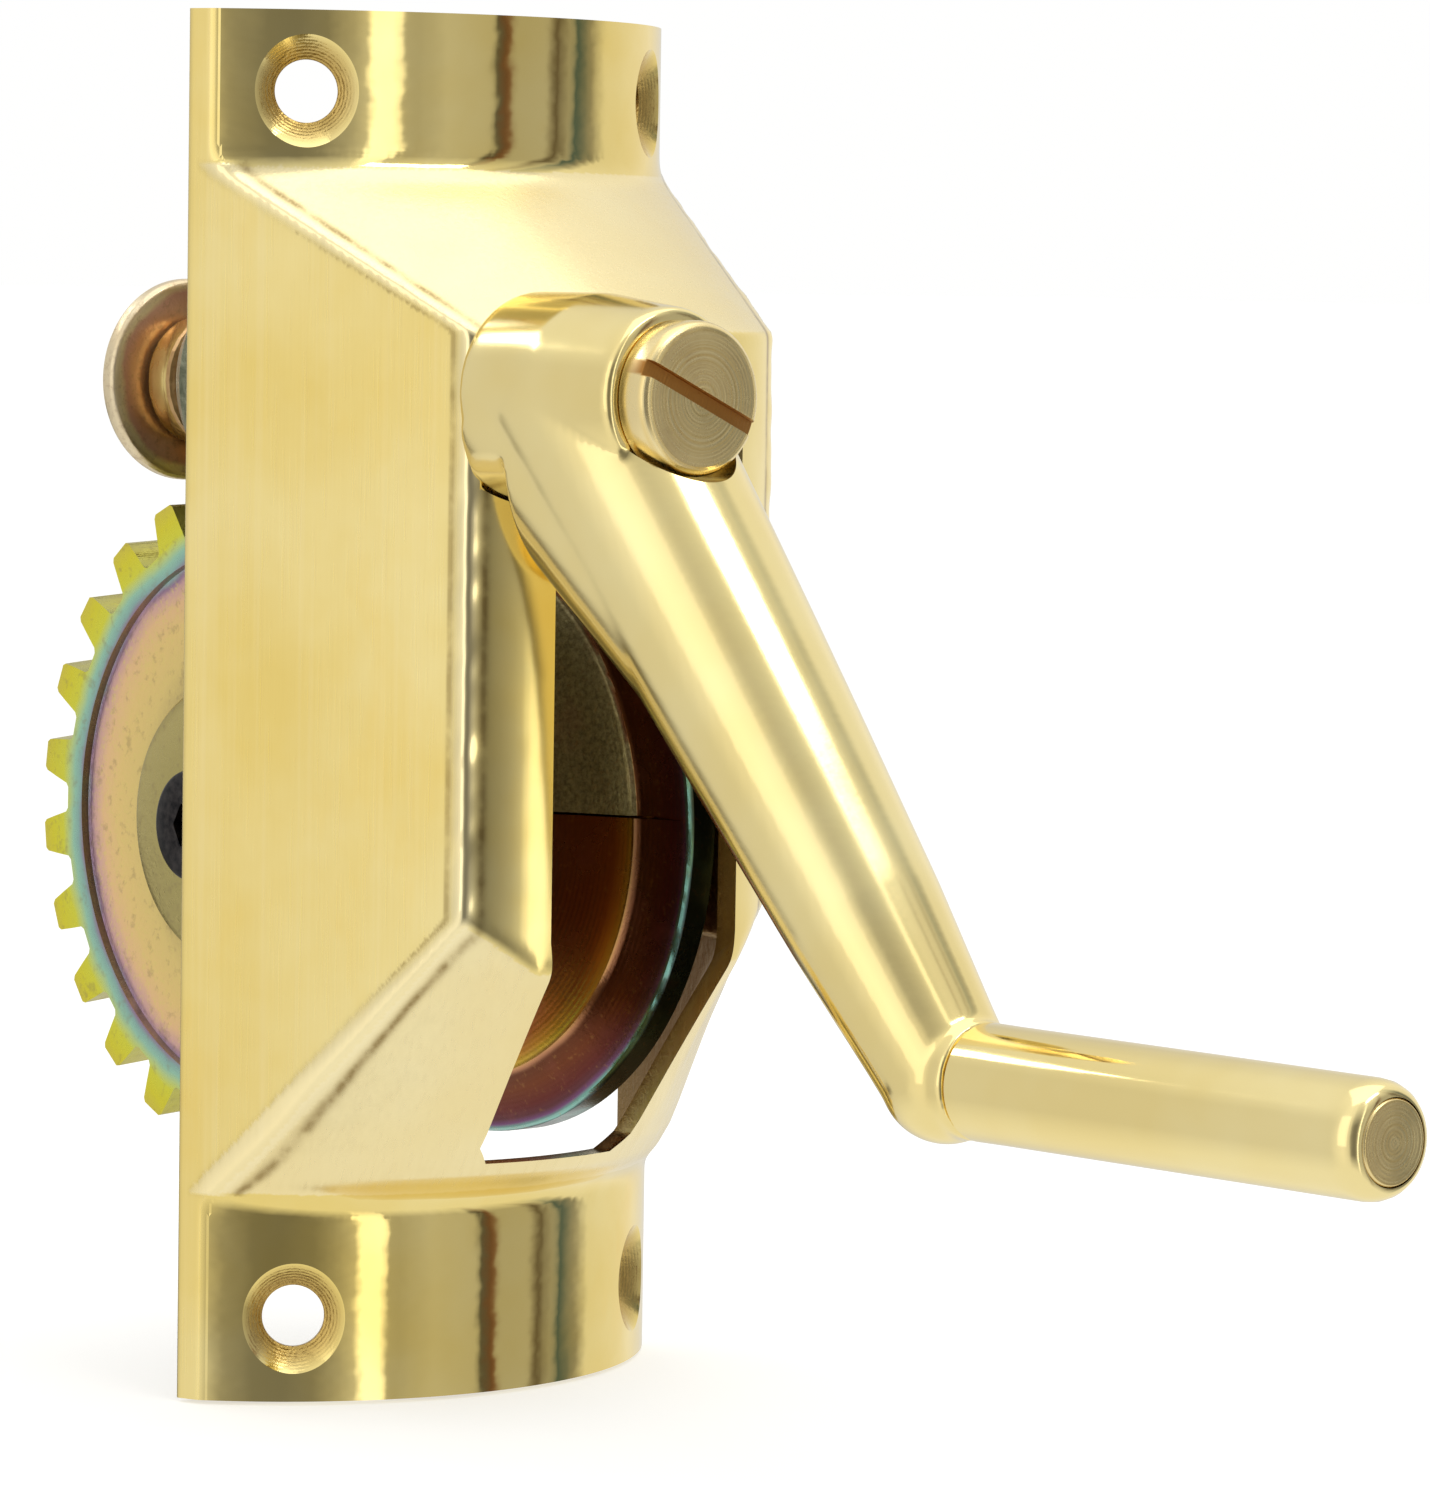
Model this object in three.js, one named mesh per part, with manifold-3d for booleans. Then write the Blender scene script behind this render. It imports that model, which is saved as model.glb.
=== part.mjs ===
// In-mast halyard winch: a crank turns a worm, which drives a worm wheel and rope drum
// inside an open-backed housing. Millimetres, +Z up. X runs across the mast (+X is right
// as seen from the front), -Y is the front, towards the user, and +Y goes into the mast.
// Modelled with Y = 0 at the back edges of the housing's sides and Z = 0 on its lower end,
// then moved along Y so that the origin lies mid wall at the front of the lower end face.
import * as THREE from 'three';
import { mergeVertices } from 'three/addons/utils/BufferGeometryUtils.js';
import Module from 'manifold-3d';

const manifoldModule = await Module();
manifoldModule.setup();
const { Manifold, Mesh } = manifoldModule;

// ---- shared dimensions ----
const ORIGIN_SHIFT_Y = 21.9;
const HEIGHT = 200;
const CLEARANCE = 0.08;                  // radial, at the bushes

// Centre lines: the axis a piece is turned about, and a point on that axis
const SHAFT_X = -17.85, SHAFT_Z = 146.4;
const WHEEL_Y = 8.5, WHEEL_Z = 82.0;
const GRIP_X = -12.4, GRIP_Z = 57.7;
const LOCK_PIN_X = 31.3;
const SHAFT_LINE = { axis: 'y', centre: [SHAFT_X, 0, SHAFT_Z] };
const WHEEL_LINE = { axis: 'x', centre: [0, WHEEL_Y, WHEEL_Z] };
const GRIP_LINE = { axis: 'y', centre: [GRIP_X, 0, GRIP_Z] };
const LOCK_PIN_LINE = { axis: 'y', centre: [LOCK_PIN_X, 0, WHEEL_Z] };
const CLAMP_SCREW_LINE = { axis: 'z', centre: [-4.2, WHEEL_Y, 0] };

const SHAFT_R = 6.0, AXLE_R = 7.0;
const FRONT_BORE_R = 8.5, REAR_BORE_R = 8.0; // bush bores in the housing
const HUB_BUSH_R = 9.5, HUB_BORE_R = 9.56;   // wheel and drum
const DRUM_LEFT = -9.7, DRUM_RIGHT = 24.0;
const LUG_LEFT = 26.8, LUG_RIGHT = 35.8;     // axle lug
const SCREW_R = 4.0, SCREW_BORE_R = 4.15;    // screws in the shaft's and axle's ends
const PIN_R = 2.0, PIN_BORE_R = 2.05, PIN_SEGMENTS = 20;

// Crank key, and its wider slot; heights are above the shaft's axis
const KEY = { halfWidth: 1.85, front: -74.0, back: -56.0, bottom: 4.15, top: 8.35 };
const KEY_SLOT = { halfWidth: 2.1, bottom: 3.9, endGap: 0.2 };

// ---- solid helpers ----
// Turns the triangles to face outwards if need be
function toSolid(positions, triangles) {
  const corner = k => new THREE.Vector3().fromArray(positions, 3 * triangles[k]);
  let volume = 0;
  for (let i = 0; i < triangles.length; i += 3) {
    volume += corner(i).dot(corner(i + 1).cross(corner(i + 2)));
  }
  if (volume < 0) {
    for (let i = 0; i < triangles.length; i += 3) {
      [triangles[i + 1], triangles[i + 2]] = [triangles[i + 2], triangles[i + 1]];
    }
  }
  return new Manifold(new Mesh({
    numProp: 3,
    vertProperties: new Float32Array(positions),
    triVerts: new Uint32Array(triangles),
  }));
}

class Surface {
  positions = [];
  triangles = [];

  point(x, y, z) {
    this.positions.push(x, y, z);
    return this.positions.length / 3 - 1;
  }

  triangle(...corners) {
    this.triangles.push(...corners);
  }

  quad(a, b, c, d) {
    this.triangles.push(a, b, c, a, c, d);
  }

  solid() {
    return toSolid(this.positions, this.triangles);
  }
}

function fromGeometry(geometry) {
  geometry.deleteAttribute('normal');
  geometry.deleteAttribute('uv');
  const merged = mergeVertices(geometry, 1e-4);
  return toSolid(Array.from(merged.attributes.position.array), Array.from(merged.index.array));
}

// Turned solid or ring; profile is a closed loop of [radius, position along the axis]
function revolve({ axis, centre }, profile, segments) {
  const surface = new Surface();
  const put = (radius, along, angle) => {
    const u = radius * Math.cos(angle);
    const v = radius * Math.sin(angle);
    const [x, y, z] = { x: [along, u, v], y: [v, along, u], z: [u, v, along] }[axis];
    return surface.point(x + centre[0], y + centre[1], z + centre[2]);
  };
  const loops = profile.map(([radius, along]) => (radius === 0
    ? Array(segments).fill(put(0, along, 0))
    : Array.from({ length: segments }, (_, i) => put(radius, along, 2 * Math.PI * i / segments))));
  loops.forEach((loop, j) => {
    const next = loops[(j + 1) % loops.length];
    for (let i = 0; i < segments; i++) {
      const k = (i + 1) % segments;
      if (loop[i] !== loop[k]) surface.triangle(loop[i], loop[k], next[i]);
      if (next[i] !== next[k]) surface.triangle(loop[k], next[k], next[i]);
    }
  });
  return surface.solid();
}

function ring(line, inner, outer, [start, end], segments = 28) {
  return revolve(line, [[inner, start], [outer, start], [outer, end], [inner, end]], segments);
}

const cylinder = (line, radius, span, segments = 28) => ring(line, 0, radius, span, segments);

function box([x0, x1], [y0, y1], [z0, z1]) {
  const geometry = new THREE.BoxGeometry(x1 - x0, y1 - y0, z1 - z0);
  geometry.translate((x0 + x1) / 2, (y0 + y1) / 2, (z0 + z1) / 2);
  return fromGeometry(geometry);
}

function frustum(start, end, startRadius, endRadius, segments) {
  const along = new THREE.Vector3(...end).sub(new THREE.Vector3(...start));
  const length = along.length();
  const geometry = new THREE.CylinderGeometry(endRadius, startRadius, length, segments);
  geometry.translate(0, length / 2, 0);
  const up = new THREE.Vector3(0, 1, 0);
  geometry.applyQuaternion(new THREE.Quaternion().setFromUnitVectors(up, along.normalize()));
  geometry.translate(...start);
  return fromGeometry(geometry);
}

// Round bar of changing radius through centres on one straight line
function taperedBar(centres, radii, segments = 32) {
  const surface = new Surface();
  const first = centres[0];
  const last = centres[centres.length - 1];
  const along = new THREE.Vector3(...last).sub(new THREE.Vector3(...first)).normalize();
  const side = new THREE.Vector3().crossVectors(along, new THREE.Vector3(1, 0, 0)).normalize();
  const across = new THREE.Vector3().crossVectors(along, side);
  const loops = centres.map((centre, j) => Array.from({ length: segments }, (_, i) => {
    const angle = 2 * Math.PI * i / segments;
    const point = new THREE.Vector3(...centre)
      .addScaledVector(side, radii[j] * Math.cos(angle))
      .addScaledVector(across, radii[j] * Math.sin(angle));
    return surface.point(...point);
  }));
  const startCentre = surface.point(...first);
  const endCentre = surface.point(...last);
  const endLoop = loops[loops.length - 1];
  for (let i = 0; i < segments; i++) {
    const k = (i + 1) % segments;
    for (let j = 0; j < loops.length - 1; j++) {
      surface.quad(loops[j][i], loops[j][k], loops[j + 1][k], loops[j + 1][i]);
    }
    surface.triangle(startCentre, loops[0][k], loops[0][i]);
    surface.triangle(endCentre, endLoop[i], endLoop[k]);
  }
  return surface.solid();
}

// ---- housing shell ----
const LOWER_FLANGE_TOP = 29.0, LOWER_ROOF_TOP = 72.1;
const UPPER_ROOF_BOTTOM = 154.8, UPPER_FLANGE_BOTTOM = 177.7;
const BACK_HALF_WIDTH = 43.85, SIDE_SLANT = 0.34;   // half width gained per mm of Y
const FLANGE_CORNER_Y = -4.0, BODY_CORNER_Y = -45.4; // where the sides meet the front arc
const FLANGE_ARC_R = 55.64, BODY_ARC_R = 46.0;
const WALL = 3.6;
const ARC_STEPS = 20;
const LEDGE_Z = 36.5, LEDGE_Y = -34.2; // foot of the lower roof's bulge
// The lower roof's upper edge sags in the middle and fades out towards the sides
const SAG = { depth: 7.0, endZ: 113, edgeX: 28, fadeWidth: 9 };
const ROW_HEIGHTS = [
  0, LOWER_FLANGE_TOP, LEDGE_Z, 54, LOWER_ROOF_TOP, SAG.endZ, UPPER_ROOF_BOTTOM,
  (UPPER_ROOF_BOTTOM + UPPER_FLANGE_BOTTOM) / 2, UPPER_FLANGE_BOTTOM, HEIGHT,
];

const halfWidthAt = y => BACK_HALF_WIDTH + SIDE_SLANT * y;
const arcBulge = (radius, halfWidth) => radius - Math.sqrt(radius ** 2 - halfWidth ** 2);
const FLANGE_BULGE = arcBulge(FLANGE_ARC_R, halfWidthAt(FLANGE_CORNER_Y));
const BODY_BULGE = arcBulge(BODY_ARC_R, halfWidthAt(BODY_CORNER_Y));

function saggedHeight(x, z) {
  let share = 0;
  if (z > LEDGE_Z && z <= LOWER_ROOF_TOP) share = (z - LEDGE_Z) / (LOWER_ROOF_TOP - LEDGE_Z);
  else if (z > LOWER_ROOF_TOP && z < SAG.endZ) {
    share = (SAG.endZ - z) / (SAG.endZ - LOWER_ROOF_TOP);
  }
  const fade = Math.min(1, Math.max(0, (SAG.edgeX - Math.abs(x)) / SAG.fadeWidth));
  return z - SAG.depth * share * fade;
}

// 0 at the flanges, 1 at the body
function bodyShare(z) {
  if (z <= LOWER_FLANGE_TOP || z >= UPPER_FLANGE_BOTTOM) return 0;
  if (z < LOWER_ROOF_TOP) return (z - LOWER_FLANGE_TOP) / (LOWER_ROOF_TOP - LOWER_FLANGE_TOP);
  if (z <= UPPER_ROOF_BOTTOM) return 1;
  return (UPPER_FLANGE_BOTTOM - z) / (UPPER_FLANGE_BOTTOM - UPPER_ROOF_BOTTOM);
}

// The middle of the lower roof stands further forward than its sides
function lowerRoofFrontY(z) {
  const flangeFront = FLANGE_CORNER_Y - FLANGE_BULGE;
  const bodyFront = BODY_CORNER_Y - BODY_BULGE;
  const mix = (y0, y1, z0, z1) => y0 + (y1 - y0) * (z - z0) / (z1 - z0);
  return z < LEDGE_Z
    ? mix(flangeFront, LEDGE_Y, LOWER_FLANGE_TOP, LEDGE_Z)
    : mix(LEDGE_Y, bodyFront, LEDGE_Z, LOWER_ROOF_TOP);
}

// [x, y] points from the left back edge round the front arc to the right back edge
function section(z, inset) {
  const share = bodyShare(z);
  const cornerY = FLANGE_CORNER_Y + (BODY_CORNER_Y - FLANGE_CORNER_Y) * share;
  const bulge = z > LOWER_FLANGE_TOP && z < LOWER_ROOF_TOP
    ? cornerY - lowerRoofFrontY(z)
    : FLANGE_BULGE + (BODY_BULGE - FLANGE_BULGE) * share;
  const outerRadius = (halfWidthAt(cornerY) ** 2 + bulge ** 2) / (2 * bulge);
  const centreY = cornerY - bulge + outerRadius;
  const radius = outerRadius - inset;
  const sideX = y => halfWidthAt(y) - inset * Math.sqrt(1 + SIDE_SLANT ** 2);
  // Bisect for the corner where the inset side meets the inset arc
  let front = centreY - radius;
  let back = Math.min(0, centreY);
  for (let i = 0; i < 60; i++) {
    const middle = (front + back) / 2;
    if (sideX(middle) ** 2 + (middle - centreY) ** 2 > radius ** 2) front = middle;
    else back = middle;
  }
  const y = (front + back) / 2;
  const halfAngle = Math.atan2(sideX(y), centreY - y);
  const arc = Array.from({ length: ARC_STEPS + 1 }, (_, i) => {
    const angle = -halfAngle + 2 * halfAngle * i / ARC_STEPS;
    return [radius * Math.sin(angle), centreY - radius * Math.cos(angle)];
  });
  return [[-sideX(0), 0], ...arc, [sideX(0), 0]];
}

function addSkin(surface, inset) {
  return ROW_HEIGHTS.map(z => section(z, inset)
    .map(([x, y]) => surface.point(x, y, saggedHeight(x, z))));
}

function makeShell() {
  const surface = new Surface();
  const outer = addSkin(surface, 0);
  const inner = addSkin(surface, WALL);
  const top = outer.length - 1;
  const right = outer[0].length - 1;
  for (let j = 0; j < top; j++) {
    for (let i = 0; i < right; i++) {
      surface.quad(outer[j][i], outer[j][i + 1], outer[j + 1][i + 1], outer[j + 1][i]);
      surface.quad(inner[j][i], inner[j + 1][i], inner[j + 1][i + 1], inner[j][i + 1]);
    }
  }
  const joinEdges = (edge, other) => {
    for (let i = 0; i < edge.length - 1; i++) {
      surface.quad(edge[i], other[i], other[i + 1], edge[i + 1]);
    }
  };
  joinEdges(outer[0], inner[0]);
  joinEdges(inner[top], outer[top]);
  joinEdges(inner.map(row => row[0]), outer.map(row => row[0]));
  joinEdges(outer.map(row => row[right]), inner.map(row => row[right]));
  return surface.solid();
}

// Everything within the outer skin, closed off flat at Y = 0
function makeEnvelope() {
  const surface = new Surface();
  const rows = addSkin(surface, 0.01);
  const count = rows[0].length;
  for (let j = 0; j < rows.length - 1; j++) {
    for (let i = 0; i < count; i++) {
      const k = (i + 1) % count;
      surface.quad(rows[j][i], rows[j][k], rows[j + 1][k], rows[j + 1][i]);
    }
  }
  const bottom = rows[0];
  const top = rows[rows.length - 1];
  for (let i = 1; i < count - 1; i++) {
    surface.triangle(bottom[0], bottom[i + 1], bottom[i]);
    surface.triangle(top[0], top[i], top[i + 1]);
  }
  return surface.solid();
}

// ---- housing lugs and openings; cutting spans run past the wall they cut ----
const FRONT_BOSS_R = 17.2, FRONT_BOSS_BACK = -34.2;
const CRANK_SEAT_R = 16.2, CRANK_SEAT_Y = -46.5;
const AXLE_LUG_R = 15.5, AXLE_LUG_FRONT = -46.5;
const REAR_LUG_R = 9.6, REAR_LUG_Y = [25.9, 30.9];
const REAR_ARM_X = [19.5, 26.0], REAR_ARM_FRONT = -49.0, REAR_ARM_Z = [133.5, 143.5];
const MOUNT_HOLE = { x: 32.4, heights: [188.5, 12.1], radius: 4.5 };
// Depths are measured from the flange's arc
const COUNTERSINK = { inside: 3.1, outside: 1.6, innerRadius: 4.2, outerRadius: 10.0 };

// Front opening as [x, z]: chamfered foot, parallel sides, a step up at the top right
const SLOT_HALF_WIDTH = 17.4, SLOT_BOTTOM = 35, SLOT_TOP = 126;
const SLOT_STEP_X = -1.0, SLOT_STEP_TOP = 151;
const SLOT_OUTLINE = [
  [-11.8, SLOT_BOTTOM], [11.8, SLOT_BOTTOM], [14.3, SLOT_BOTTOM + 2.6],
  [SLOT_HALF_WIDTH, LOWER_ROOF_TOP - 3], [SLOT_HALF_WIDTH, SLOT_STEP_TOP],
  [SLOT_STEP_X, SLOT_STEP_TOP], [SLOT_STEP_X, SLOT_TOP], [-SLOT_HALF_WIDTH, SLOT_TOP],
  [-SLOT_HALF_WIDTH, LOWER_ROOF_TOP - 3], [-14.3, SLOT_BOTTOM + 2.6],
];

function makeAxleLug(envelope) {
  const lugZ = [WHEEL_Z - AXLE_LUG_R, WHEEL_Z + AXLE_LUG_R];
  const lug = cylinder(WHEEL_LINE, AXLE_LUG_R, [LUG_LEFT, LUG_RIGHT])
    .add(box([LUG_LEFT, LUG_RIGHT], [AXLE_LUG_FRONT, WHEEL_Y], lugZ));
  return lug.intersect(envelope.add(box([10, 39], [-1, 40], [50, 120])));
}

// Lug behind the worm on an L-shaped arm that runs forward to the front wall
function makeRearLug(envelope) {
  const lug = cylinder(SHAFT_LINE, REAR_LUG_R, REAR_LUG_Y)
    .add(box([SHAFT_X, REAR_ARM_X[1]], REAR_LUG_Y, REAR_ARM_Z))
    .add(box(REAR_ARM_X, [REAR_ARM_FRONT, REAR_LUG_Y[1]], REAR_ARM_Z));
  return lug.intersect(envelope.add(box([-40, 39], [-1, 60], [100, 170])));
}

// Leaves the front boss standing
function makeSlotCutter() {
  const outline = new THREE.Shape(SLOT_OUTLINE.map(([x, z]) => new THREE.Vector2(x, z)));
  const geometry = new THREE.ExtrudeGeometry(outline, { depth: 60, bevelEnabled: false });
  geometry.rotateX(Math.PI / 2); // the outline's height becomes Z, its depth -Y
  geometry.translate(0, -16, 0);
  return fromGeometry(geometry)
    .subtract(cylinder(SHAFT_LINE, FRONT_BOSS_R + 0.05, [-60, -34], 32));
}

// Countersunk holes through the flanges, square to the front arc
function cutMountHoles(housing) {
  const arcCentreY = FLANGE_CORNER_Y + FLANGE_ARC_R - FLANGE_BULGE;
  const angle = Math.asin(MOUNT_HOLE.x / FLANGE_ARC_R);
  for (const side of [-1, 1]) {
    for (const z of MOUNT_HOLE.heights) {
      const at = offset => {
        const distance = FLANGE_ARC_R + offset;
        const x = side * Math.sin(angle) * distance;
        return [x, arcCentreY - Math.cos(angle) * distance, z];
      };
      const { radius } = MOUNT_HOLE;
      const { inside, outside, innerRadius, outerRadius } = COUNTERSINK;
      housing = housing
        .subtract(frustum(at(-12), at(8), radius, radius, 28))
        .subtract(frustum(at(-inside), at(outside), innerRadius, outerRadius, 32));
    }
  }
  return housing;
}

function makeHousing() {
  const envelope = makeEnvelope();
  const frontBoss = cylinder(SHAFT_LINE, FRONT_BOSS_R, [-60, FRONT_BOSS_BACK], 32);
  const housing = makeShell()
    .add(frontBoss.intersect(envelope))
    .add(makeAxleLug(envelope))
    .add(makeRearLug(envelope))
    .subtract(cylinder(SHAFT_LINE, CRANK_SEAT_R, [-80, CRANK_SEAT_Y], 36))
    .subtract(cylinder(SHAFT_LINE, 21.0, [-9.6, 25.4])) // room for the worm
    .subtract(cylinder(WHEEL_LINE, 50.6, [-26.6, DRUM_RIGHT + 0.7], 64)) // wheel and drum
    .subtract(cylinder(SHAFT_LINE, FRONT_BORE_R, [-60, -30]))
    .subtract(cylinder(SHAFT_LINE, REAR_BORE_R, [20, 40]))
    .subtract(cylinder(WHEEL_LINE, AXLE_R + 0.06, [20, 40]))
    .subtract(cylinder(LOCK_PIN_LINE, PIN_BORE_R, [WHEEL_Y, 60], PIN_SEGMENTS))
    .subtract(makeSlotCutter());
  return cutMountHoles(housing);
}

// ---- worm gearing ----
const TOOTH_COUNT = 25, WHEEL_PITCH_R = 46.6;
const PITCH = 2 * Math.PI * WHEEL_PITCH_R / TOOTH_COUNT;
const TOOTH_PHASE = 0.093;               // angle from +Y towards -Z
const WHEEL_LEFT = -25.7, WHEEL_RIGHT = -10.0;
// Tooth outline: [radius, distance from the tooth's centre line]
const TOOTH = [
  [43.6, -3.5], [WHEEL_PITCH_R, -2.9], [49.6, -2.3],
  [49.6, 2.3], [WHEEL_PITCH_R, 2.9], [43.6, 3.5],
];
const WORM_TIP_R = 20.4, WORM_ROOT_R = 14.3, WORM_PITCH_R = 17.8;
const WORM_FRONT = -7.0, WORM_BACK = 16.5;
// Half thickness at the pitch radius, flank slope, angle of the wheel tooth it straddles
const THREAD = { half: 2.5, slope: 0.2, phase: 0.0955, steps: 32, capReach: 4 };

// Helical thread; after one turn each column of points meets the first one, four rows on
function makeThread() {
  const surface = new Surface();
  const { steps } = THREAD;
  const tipHalf = THREAD.half - THREAD.slope * (WORM_TIP_R - WORM_PITCH_R);
  const rootHalf = THREAD.half + THREAD.slope * (WORM_PITCH_R - WORM_ROOT_R);
  // [offset along Y, radius]
  const ridge = [
    [-rootHalf, WORM_ROOT_R], [-tipHalf, WORM_TIP_R],
    [tipHalf, WORM_TIP_R], [rootHalf, WORM_ROOT_R],
  ];
  const turns = Math.ceil((WORM_BACK - WORM_FRONT) / PITCH) + 3;
  const rows = turns * 4;
  const last = rows - 1;
  // At the bottom of the worm the thread lies half a pitch from the nearest tooth
  const toothY = WHEEL_Y - THREAD.phase * WHEEL_PITCH_R;
  const startY = toothY + PITCH / 2 - PITCH * Math.ceil(turns / 2);
  const columns = Array.from({ length: steps }, (_, i) => {
    const angle = Math.PI + 2 * Math.PI * i / steps;
    return Array.from({ length: rows }, (_row, j) => {
      const [offset, radius] = ridge[j % 4];
      const y = startY + offset + PITCH * Math.floor(j / 4) + PITCH * i / steps;
      const x = SHAFT_X + radius * Math.sin(angle);
      return surface.point(x, y, SHAFT_Z + radius * Math.cos(angle));
    });
  });
  const at = (i, j) => (i < steps ? columns[i][j] : columns[0][j + 4]);
  for (let i = 0; i < steps; i++) {
    const end = i === steps - 1 ? last - 4 : last;
    for (let j = 0; j < end; j++) {
      surface.quad(at(i, j), at(i + 1, j), at(i + 1, j + 1), at(i, j + 1));
    }
  }
  // Fans close the stepped end loops
  const closeEnd = (loop, y) => {
    const centre = surface.point(SHAFT_X, y, SHAFT_Z);
    loop.forEach((point, k) => surface.triangle(centre, loop[(k + 1) % loop.length], point));
  };
  const frontLoop = columns.map(column => column[0]);
  for (let j = 4; j > 0; j--) frontLoop.push(columns[0][j]);
  closeEnd(frontLoop, startY - THREAD.capReach);
  const backLoop = columns[steps - 1].slice(last - 4, last);
  for (let i = steps - 1; i >= 0; i--) backLoop.push(columns[i][last]);
  closeEnd(backLoop, startY + PITCH * turns + THREAD.capReach);
  return surface.solid();
}

function makeKeySlot(back, top) {
  const { halfWidth, bottom, endGap } = KEY_SLOT;
  return box([SHAFT_X - halfWidth, SHAFT_X + halfWidth], [KEY.front - endGap, back],
    [SHAFT_Z + bottom, SHAFT_Z + top]);
}

function makeWormShaft() {
  const chamferedLimits = revolve(SHAFT_LINE, [
    [0, WORM_FRONT], [WORM_ROOT_R + 1, WORM_FRONT], [WORM_TIP_R + 1, WORM_FRONT + 3.5],
    [WORM_TIP_R + 1, WORM_FRONT + 13.5], [WORM_ROOT_R + 0.7, WORM_BACK], [0, WORM_BACK],
  ], 44);
  const frontShaft = revolve(SHAFT_LINE, [
    [0, -77.3], [SHAFT_R - 1, -77.3], [SHAFT_R, -76.3], [SHAFT_R, -31.6],
    [9.5, -31.6], [9.5, -6.5], [0, -6.5],
  ], 40);
  return makeThread().intersect(chamferedLimits)
    .add(frontShaft)
    .add(cylinder(SHAFT_LINE, 9.0, [16, 24.4]))
    .add(cylinder(SHAFT_LINE, SHAFT_R, [24, 31.6]))
    .subtract(cylinder(SHAFT_LINE, SCREW_BORE_R, [-80, -60]))
    .subtract(makeKeySlot(KEY.back + KEY_SLOT.endGap, 12))
    .subtract(cylinder(SHAFT_LINE, 2.65, [18, 40], 24)); // rear screw hole
}

// Toothed disc, its teeth twisted to follow the worm's lead
function makeToothedDisc() {
  const surface = new Surface();
  const outline = [];
  for (let k = 0; k < TOOTH_COUNT; k++) {
    const middle = TOOTH_PHASE + 2 * Math.PI * k / TOOTH_COUNT;
    for (const [radius, offset] of TOOTH) {
      outline.push([radius, middle + Math.asin(offset / radius)]);
    }
  }
  const lead = PITCH / (2 * Math.PI) / WORM_PITCH_R;
  const [left, right] = [WHEEL_LEFT, WHEEL_RIGHT].map(x => {
    const twist = -(x - SHAFT_X) * lead / WHEEL_PITCH_R;
    return outline.map(([radius, angle]) => surface.point(
      x,
      WHEEL_Y + radius * Math.cos(angle + twist),
      WHEEL_Z - radius * Math.sin(angle + twist),
    ));
  });
  const leftCentre = surface.point(WHEEL_LEFT, WHEEL_Y, WHEEL_Z);
  const rightCentre = surface.point(WHEEL_RIGHT, WHEEL_Y, WHEEL_Z);
  for (let i = 0; i < left.length; i++) {
    const k = (i + 1) % left.length;
    surface.quad(left[i], left[k], right[k], right[i]);
    surface.triangle(leftCentre, left[k], left[i]);
    surface.triangle(rightCentre, right[i], right[k]);
  }
  return surface.solid();
}

// Three drive pins join the wheel to the drum
const DRIVE_PIN_LINES = [0, 1, 2].map(k => {
  const angle = 0.5 + k * 2.0944;
  const y = WHEEL_Y + 15 * Math.cos(angle);
  return { axis: 'x', centre: [0, y, WHEEL_Z + 15 * Math.sin(angle)] };
});

function cutDrivePinHoles(solid) {
  return DRIVE_PIN_LINES.reduce(
    (cut, line) => cut.subtract(cylinder(line, PIN_BORE_R, [-18, -2], PIN_SEGMENTS)), solid);
}

function makeWormWheel() {
  const hub = revolve(WHEEL_LINE, [
    [0, -30.9], [19.2, -30.9], [20.5, -29.4], [20.5, -20], [0, -20],
  ], 48);
  return cutDrivePinHoles(makeToothedDisc()
    .subtract(ring(WHEEL_LINE, 20.5, 40.4, [-40, WHEEL_LEFT + 1.4], 36))
    .add(hub)
    .subtract(cylinder(WHEEL_LINE, HUB_BORE_R, [-60, 20]))
    .subtract(ring(WHEEL_LINE, 24, 38, [WHEEL_RIGHT - 3, 0], 36)));
}

// ---- drum ----
function makeDrum() {
  const body = revolve(WHEEL_LINE, [
    [HUB_BORE_R, DRUM_LEFT], [21, DRUM_LEFT], [21, 1], [22, 4.5], [25, 8.2], [31, 11.8],
    [40.5, 15.7], [48.2, 18.8], [48.8, 19.6], [48.8, DRUM_RIGHT - 0.6], [48.2, DRUM_RIGHT],
    [36, DRUM_RIGHT], [34, DRUM_RIGHT - 2], [22, DRUM_RIGHT - 2], [20, DRUM_RIGHT],
    [HUB_BORE_R, DRUM_RIGHT],
  ], 56);
  // Thin step on the dish's left face, over its upper half only
  const step = revolve(WHEEL_LINE, [
    [25, 7.2], [31, 10.7], [40.3, 14.5], [40.6, 17], [30, 14], [25, 11],
  ], 56).intersect(box([0, 20], [-60, 80], [WHEEL_Z + 2.2, 160]));
  const clampHole = cylinder(CLAMP_SCREW_LINE, 2.15, [WHEEL_Z + 12, 130], 16);
  return cutDrivePinHoles(body.add(step).subtract(clampHole));
}

// ---- axle ----
function makeAxle() {
  return revolve(WHEEL_LINE, [
    [0, -30.6], [6, -30.6], [AXLE_R, -29.6], [AXLE_R, LUG_RIGHT + 0.6],
    [6.2, LUG_RIGHT + 1.4], [0, LUG_RIGHT + 1.4],
  ], 40)
    .subtract(cylinder(WHEEL_LINE, SCREW_BORE_R, [-40, -10]))
    .subtract(cylinder(LOCK_PIN_LINE, PIN_BORE_R, [WHEEL_Y + 2, WHEEL_Y + 20], PIN_SEGMENTS));
}

function makeAxleScrew() {
  const hexSocket = cylinder(WHEEL_LINE, 3.6, [-40, -33.6], 6);
  return revolve(WHEEL_LINE, [
    [0, -35.9], [7.6, -35.9], [8.2, -35.3], [8.2, -32.9], [SCREW_R, -32.9],
    [SCREW_R, -12.5], [3.4, -11.5], [0, -11.5],
  ], 36).subtract(hexSocket);
}

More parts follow.
